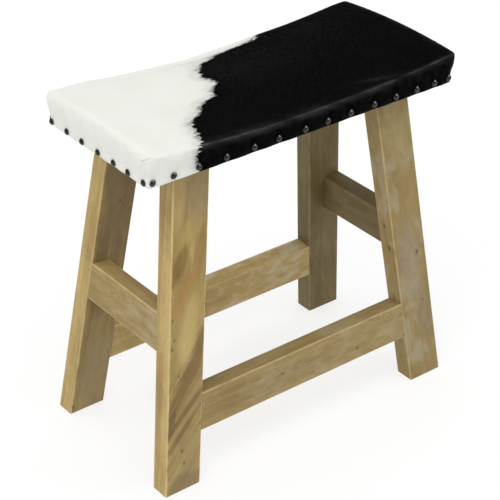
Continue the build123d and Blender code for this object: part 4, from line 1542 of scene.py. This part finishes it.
class BENCH_OT_dust_cover(bpy.types.Operator):
    """Make the thin cloth stapled under the seat, cut out round the legs"""

    bl_idname = "bench.dust_cover"
    bl_label = "Dust cover"

    def execute(self, context):
        points, faces, area = dust_sheet()
        cloth = add_piece("under_cloth", make_mesh("under_cloth", points, faces))
        cloth.data.materials.append(
            pressed_cloth("dust_cloth_black", (0.012, 0.012, 0.013), (0.05, 0.05, 0.052))
        )
        thick = cloth.modifiers.new("thick", "SOLIDIFY")
        thick.thickness = 0.3 * MM
        thick.offset = 0.0
        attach(cloth, "root")
        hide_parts("dust_cover")
        area * MM * MM
        return {"FINISHED"}


class BENCH_OT_legs(bpy.types.Operator):
    """Finish the four legs in mango wood"""

    bl_idname = "bench.legs"
    bl_label = "Legs"

    def execute(self, context):
        outer, side = -LEG_DEPTH / 2 * MM, -LEG_WIDTH / 2 * MM
        # In each figure, 'sides' scales the low-across, high-across and outer faces, and 'tone' the
        # whole leg: painted light and shade, partly the wood's own tone.
        figures = {
            "leg_front_left": {
                "seed": 3.1, "calm": 0.5, "edge_highlight_and_wear": 0.8, "fan": (0.32, 0.85),
                "sides": (1.12, 1.0, 0.87),
                "patches": (
                    (0.505, 0.012, 0.060, 0.026, 0, (0.33, 0.235, 0.116), 0.8),
                    (0.500, -0.023, 0.065, 0.011, 0, (0.52, 0.37, 0.138), 0.75),
                    (0.160, 0.012, 0.110, 0.036, 25, (0.31, 0.21, 0.076), 0.65),
                    (0.422, -0.006, 0.040, 0.016, 15, (0.45, 0.325, 0.09), 0.65),
                    (0.385, 0.018, 0.060, 0.015, 12, (0.32, 0.20, 0.06), 0.75),
                    (0.383, -0.022, 0.036, 0.012, 25, (0.23, 0.137, 0.036), 0.85),
                    (0.345, -0.002, 0.045, 0.017, 18, (0.42, 0.245, 0.065), 0.7),
                    (0.312, 0.012, 0.045, 0.020, 15, (0.46, 0.33, 0.11), 0.6),
                    (0.275, 0.002, 0.055, 0.015, 8, (0.60, 0.45, 0.175), 0.7),
                    (0.260, -0.027, 0.090, 0.009, 0, (0.38, 0.27, 0.085), 0.75),
                    (0.255, 0.029, 0.040, 0.010, 25, (0.235, 0.15, 0.048), 0.9),
                    (0.206, 0.008, 0.075, 0.014, 32, (0.225, 0.145, 0.048), 0.9),
                    (0.172, 0.022, 0.035, 0.007, 38, (0.40, 0.295, 0.11), 0.7),
                    (0.140, 0.004, 0.055, 0.006, 44, (0.21, 0.137, 0.046), 0.85),
                    (0.122, -0.002, 0.045, 0.005, 44, (0.42, 0.31, 0.12), 0.6),
                    (0.105, -0.004, 0.050, 0.006, 44, (0.23, 0.15, 0.052), 0.8),
                    (0.118, -0.029, 0.030, 0.008, 15, (0.18, 0.12, 0.042), 0.85),
                    (0.066, 0.010, 0.035, 0.022, 20, (0.40, 0.295, 0.13), 0.6),
                    (0.014, 0.0, 0.018, 0.036, 0, (0.26, 0.19, 0.10), 0.7),
                ),
                "knots": (
                    (0.302, -0.028, outer, 0.0016), (0.268, -0.024, outer, 0.0015),
                    (0.255, -0.027, outer, 0.0018), (0.205, -0.014, outer, 0.0018),
                    (0.072, -0.004, outer, 0.0022), (0.048, 0.0, outer, 0.0018),
                ),
            },
            "leg_front_right": {
                "seed": 9.4, "tilt": 0.03, "calm": 0.75, "grey": 0.7, "edge_highlight_and_wear": 0.6, "tone": 0.72,
                "sides": (1.10, 1.0, 1.0),
                "patches": (
                    (0.480, 0.006, 0.070, 0.030, 0, (0.44, 0.335, 0.14), 0.7),
                    (0.360, 0.022, 0.060, 0.014, 10, (0.47, 0.335, 0.13), 0.6),
                    (0.230, -0.004, 0.080, 0.022, 0, (0.44, 0.375, 0.26), 0.6),
                    (0.120, 0.014, 0.060, 0.018, 0, (0.36, 0.27, 0.16), 0.6),
                ),
                "knots": (
                    (0.245, 0.014, outer, 0.003), (0.302, side, 0.002, 0.003),
                    (0.262, side, -0.004, 0.004), (0.150, 0.014, outer, 0.0016),
                ),
            },
            "leg_back_left": {
                "seed": 15.7, "tilt": -0.02, "calm": 0.6, "edge_highlight_and_wear": 0.5, "sides": (1.12, 1.0, 0.67),
                "patches": (
                    # This patch, with the outer face's factor 0.67, darkens the upper front face:
                    # painted shade under the seat.
                    (0.420, 0.002, 0.140, 0.034, 0, (0.29, 0.205, 0.095), 0.75),
                    (0.230, -0.006, 0.040, 0.024, 0, (0.25, 0.165, 0.065), 0.7),
                    (0.070, 0.004, 0.080, 0.030, 0, (0.42, 0.32, 0.165), 0.6),
                ),
                "knots": (
                    (0.405, 0.006, outer, 0.002), (0.398, 0.012, outer, 0.0016),
                    (0.410, 0.014, outer, 0.0015), (0.015, -0.031, outer, 0.003),
                ),
            },
            "leg_back_right": {
                # Its low tone is partly painted shade under the seat.
                "seed": 22.3, "tilt": 0.02, "calm": 0.6, "grey": 0.2, "edge_highlight_and_wear": 0.45, "tone": 0.39,
                "knots": ((0.27, 0.008, outer, 0.002),),
            },
        }
        for (side_x, side_y), node_name in LEG_OF.items():
            material = mango_wood(
                "mango_" + node_name,
                lambda finish, sx=side_x, sy=side_y: leg_coordinates(finish, sx, sy),
                LEG_WIDTH / 2 * MM, LEG_DEPTH / 2 * MM, figures[node_name],
            )
            dress(node_name, material)
        return {"FINISHED"}


class BENCH_OT_stretchers(bpy.types.Operator):
    """Finish the four stretchers in mango wood"""

    bl_idname = "bench.stretchers"
    bl_label = "Stretchers"

    def execute(self, context):
        outer = -STRETCHER_THICKNESS / 2 * MM
        # In each row, 'sides' scales a stretcher's low, high and outer faces, and 'tone' the whole
        # stretcher: painted light and shade, partly the wood's own tone.
        rows = (
            ("front_stretcher", True, LEAN_WIDTH, {
                "seed": 31.0, "calm": 0.65, "grey": 0.4, "edge_highlight_and_wear": 0.6, "tone": 0.75,
                "knots": ((-0.05, 0.004, outer, 0.002), (0.11, -0.012, outer, 0.0022)),
            }),
            ("back_stretcher", True, -LEAN_WIDTH, {
                "seed": 38.5, "calm": 0.7, "grey": 0.9, "edge_highlight_and_wear": 0.55, "tone": 1.08,
                "sides": (1.0, 1.10, 1.0), "knots": ((-0.02, 0.0, outer, 0.0024),),
            }),
            ("left_end_stretcher", False, LEAN_LENGTH, {
                "seed": 44.2, "calm": 0.65, "grey": 0.4, "edge_highlight_and_wear": 0.9, "tone": 0.83,
                "sides": (1.0, 1.27, 1.0),
                "knots": ((0.03, 0.008, outer, 0.0016),),
            }),
            ("right_end_stretcher", False, -LEAN_LENGTH, {
                "seed": 52.9, "calm": 0.6, "grey": 0.3, "edge_highlight_and_wear": 0.4, "tone": 0.40,
                "sides": (1.0, 0.94, 1.0),
            }),
        )
        for node_name, along_x, lean, figure in rows:
            material = mango_wood(
                "mango_" + node_name,
                lambda finish, n=node_name, a=along_x, k=lean: stretcher_coordinates(
                    finish, n, a, k
                ),
                STRETCHER_WIDTH / 2 * MM, STRETCHER_THICKNESS / 2 * MM, figure,
            )
            dress(node_name, material)
        return {"FINISHED"}


class BENCH_OT_seat_frame(bpy.types.Operator):
    """Finish the wooden frame, the deck and the dowels under the hide"""

    bl_idname = "bench.seat_frame"
    bl_label = "Seat frame"

    def execute(self, context):
        pine, pine_dark = (0.56, 0.42, 0.22), (0.40, 0.25, 0.11)
        long_timber = plain_timber("timber_lengthways", pine, pine_dark, 0)
        cross_timber = plain_timber("timber_crossways", pine, pine_dark, 1)
        for name in ("seat_front_rail", "seat_back_rail"):
            dress(name, long_timber)
        for name in (
            "seat_left_rail", "seat_right_rail", "left_leg_bearer", "right_leg_bearer",
            "centre_bearer",
        ):
            dress(name, cross_timber)
        plywood = plain_timber("plywood_face", (0.60, 0.45, 0.27), (0.45, 0.30, 0.15), 0, 2.5)
        dress("seat_deck", plywood)
        beech = plain_timber("beech_dowel", (0.58, 0.38, 0.22), (0.42, 0.25, 0.13), 0, 0.4)
        for name in NODES:
            if name.endswith("_dowels"):
                dress(name, beech)
        return {"FINISHED"}


class BENCH_OT_fixings(bpy.types.Operator):
    """Finish the domed nails, the screws and the staples"""

    bl_idname = "bench.fixings"
    bl_label = "Fixings"

    def execute(self, context):
        metal = context.scene.bench_metal
        nail = worn_metal("antique_nail", metal.nail, (0.035, 0.032, 0.028), 0.34, 420.0, 0.7)
        screw = worn_metal("zinc_screw", metal.screw, (0.72, 0.68, 0.5), 0.36, 700.0, 0.2)
        wire = worn_metal("galvanised_wire", metal.staple, (0.7, 0.7, 0.69), 0.4, 900.0, 0.2)
        for name in NODES:
            if name.startswith("cover_nails"):
                dress(name, nail)
            elif name.endswith("_screws"):
                dress(name, screw)
            elif name.endswith("staples"):
                dress(name, wire)
        return {"FINISHED"}


def floor_disc(radius, rings=24, spokes=96):
    """A flat disc on the floor: rings at equal steps, closed at its centre."""
    around = np.linspace(0, 2 * math.pi, spokes, endpoint=False)
    out = np.linspace(0, radius, rings + 1)[1:]
    x = (out[:, None] * np.cos(around)[None, :]).ravel()
    y = (out[:, None] * np.sin(around)[None, :]).ravel()
    points = np.concatenate([[[0, 0, 0]], np.stack([x, y, 0 * x], -1)])
    index = 1 + np.arange(rings * spokes).reshape(rings, spokes)
    nxt = np.roll(index, -1, axis=1)
    centre = np.zeros(spokes, int)
    inner = np.stack([centre, index[0], nxt[0]], -1)
    outer = np.stack([index[:-1], index[1:], nxt[1:], nxt[:-1]], -1).reshape(-1, 4)
    halves = np.concatenate([outer[:, [0, 1, 2]], outer[:, [0, 2, 3]]])
    return points, np.concatenate([inner, halves])


def soft_light(name, place, target, size, power, colour):
    """A square area light that looks at a point."""
    data = bpy.data.lights.new(name, "AREA")
    data.shape = "SQUARE"
    data.size = size
    data.energy = power
    data.color = colour
    light = bpy.data.objects.new(name, data)
    light.location = place
    light.rotation_mode = "QUATERNION"
    light.rotation_quaternion = (Vector(target) - Vector(place)).to_track_quat("-Z", "Y")
    bpy.context.scene.collection.objects.link(light)
    return light


def soft_surround(strength):
    """A white surround that lights the bench most from above and from the front left. Seen
    directly it is plain white, and in reflections it is a dim room with a soft window."""
    world = bpy.data.worlds.new("surround")
    finish = Finish("surround", world)
    x, y, z = finish.split(finish.node("ShaderNodeTexCoord").out("Generated"))
    above = finish.step(z, 0.0, 0.9)
    ahead = finish.step(x * -0.86 + y * -0.51, -0.5, 0.9)
    light = 0.64 + above * 0.30 + ahead * 0.26
    window = finish.step(x * 0.53 + y * -0.515 + z * 0.67, 0.88, 0.95)
    room = 0.40 + above * 0.15 + window * 5.0
    path = finish.node("ShaderNodeLightPath")
    seen, mirrored = path.out("Is Camera Ray"), path.out("Is Glossy Ray")
    light = mirrored * room + (1.0 - mirrored) * light
    shown = seen + (1.0 - seen) * light * strength
    sky = finish.node("ShaderNodeBackground", None, {"Color": (1.0, 1.0, 1.0), "Strength": shown})
    finish.node("ShaderNodeOutputWorld", None, {"Surface": sky.out()})
    return world


def aim_camera(focal_length):
    """The photograph's camera: it looks at a point of the bench from the front left, above."""
    azimuth, elevation, roll = (math.radians(angle) for angle in CAMERA_ANGLES)
    target = Vector(CAMERA_TARGET) * MM
    back = Vector(
        (
            -math.sin(azimuth) * math.cos(elevation),
            -math.cos(azimuth) * math.cos(elevation),
            math.sin(elevation),
        )
    )
    right = Vector((math.cos(azimuth), -math.sin(azimuth), 0.0))
    up = back.cross(right)
    turned_right = right * math.cos(roll) + up * math.sin(roll)
    turned_up = up * math.cos(roll) - right * math.sin(roll)
    data = bpy.data.cameras.new("camera")
    data.lens = focal_length
    data.sensor_width = 36.0
    data.clip_start, data.clip_end = 0.05, 60.0
    camera = bpy.data.objects.new("camera", data)
    rotation = Matrix((turned_right, turned_up, back)).transposed()
    camera.matrix_world = Matrix.Translation(target + back * CAMERA_DISTANCE) @ rotation.to_4x4()
    bpy.context.scene.collection.objects.link(camera)
    bpy.context.scene.camera = camera


class BENCH_OT_stage(bpy.types.Operator):
    """Set the floor, the light and the camera"""

    bl_idname = "bench.stage"
    bl_label = "Stage"

    def execute(self, context):
        stage = context.scene.bench_stage
        points, faces = floor_disc(stage.floor_radius / MM)
        mesh = make_mesh("floor", points, faces)
        finish = Finish("floor_pale")
        cloud = finish.noise(finish.object_place(), 2.0)
        plain = tuple(stage.floor_colour)
        pale = finish.mix(cloud, times(plain, 0.985), plain)
        seen = finish.node("ShaderNodeLightPath").out("Is Camera Ray")
        finish.surface(
            {
                "Base Color": finish.scaled(pale, 0.30),
                "Roughness": 0.9,
                "Specular IOR Level": 0.1,
                "Emission Color": finish.scaled(pale, 0.68 + seen * 0.12),
                "Emission Strength": 1.0,
            }
        )
        mesh.materials.append(finish.material)
        floor = add_piece("floor", mesh)
        context.scene.world = soft_surround(stage.sky_light)
        seat = (0.0, 0.0, 0.55)
        soft_light("key", (-1.55, -0.8, 2.9), seat, 0.8, stage.key_power, (1.0, 0.99, 0.97))
        soft_light("rim", (1.55, -1.5, 2.5), seat, 0.5, 0.35 * stage.key_power, (1.0, 1.0, 1.0))
        context.scene.view_settings.view_transform = "Standard"
        aim_camera(stage.focal_length)
        return {"FINISHED"}


class BENCH_PT_sidebar(bpy.types.Panel):
    """Lists the bench's settings and its steps."""

    bl_idname = "BENCH_PT_sidebar"
    bl_label = "Cowhide Bench"
    bl_space_type = "VIEW_3D"
    bl_region_type = "UI"
    bl_category = "Bench"

    def draw(self, context):
        layout = self.layout
        for group_name, group in SETTINGS.items():
            box = layout.box()
            settings = getattr(context.scene, group_name)
            for key in group.__annotations__:
                box.prop(settings, key)
        for operator in OPERATORS:
            layout.operator(operator.bl_idname)


OPERATORS = (
    BENCH_OT_stage,
    BENCH_OT_hide,
    BENCH_OT_hair,
    BENCH_OT_padding,
    BENCH_OT_dust_cover,
    BENCH_OT_legs,
    BENCH_OT_stretchers,
    BENCH_OT_seat_frame,
    BENCH_OT_fixings,
)


def register():
    for group_name, group in SETTINGS.items():
        bpy.utils.register_class(group)
        setattr(bpy.types.Scene, group_name, PointerProperty(type=group))
    for cls in (*OPERATORS, BENCH_PT_sidebar):
        bpy.utils.register_class(cls)


def unregister():
    for cls in (BENCH_PT_sidebar, *reversed(OPERATORS)):
        bpy.utils.unregister_class(cls)
    for group_name, group in SETTINGS.items():
        delattr(bpy.types.Scene, group_name)
        bpy.utils.unregister_class(group)


def main():
    """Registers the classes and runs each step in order."""
    register()
    for operator in OPERATORS:
        family, step = operator.bl_idname.split(".")
        getattr(getattr(bpy.ops, family), step)()


if __name__ == "__main__":
    main()
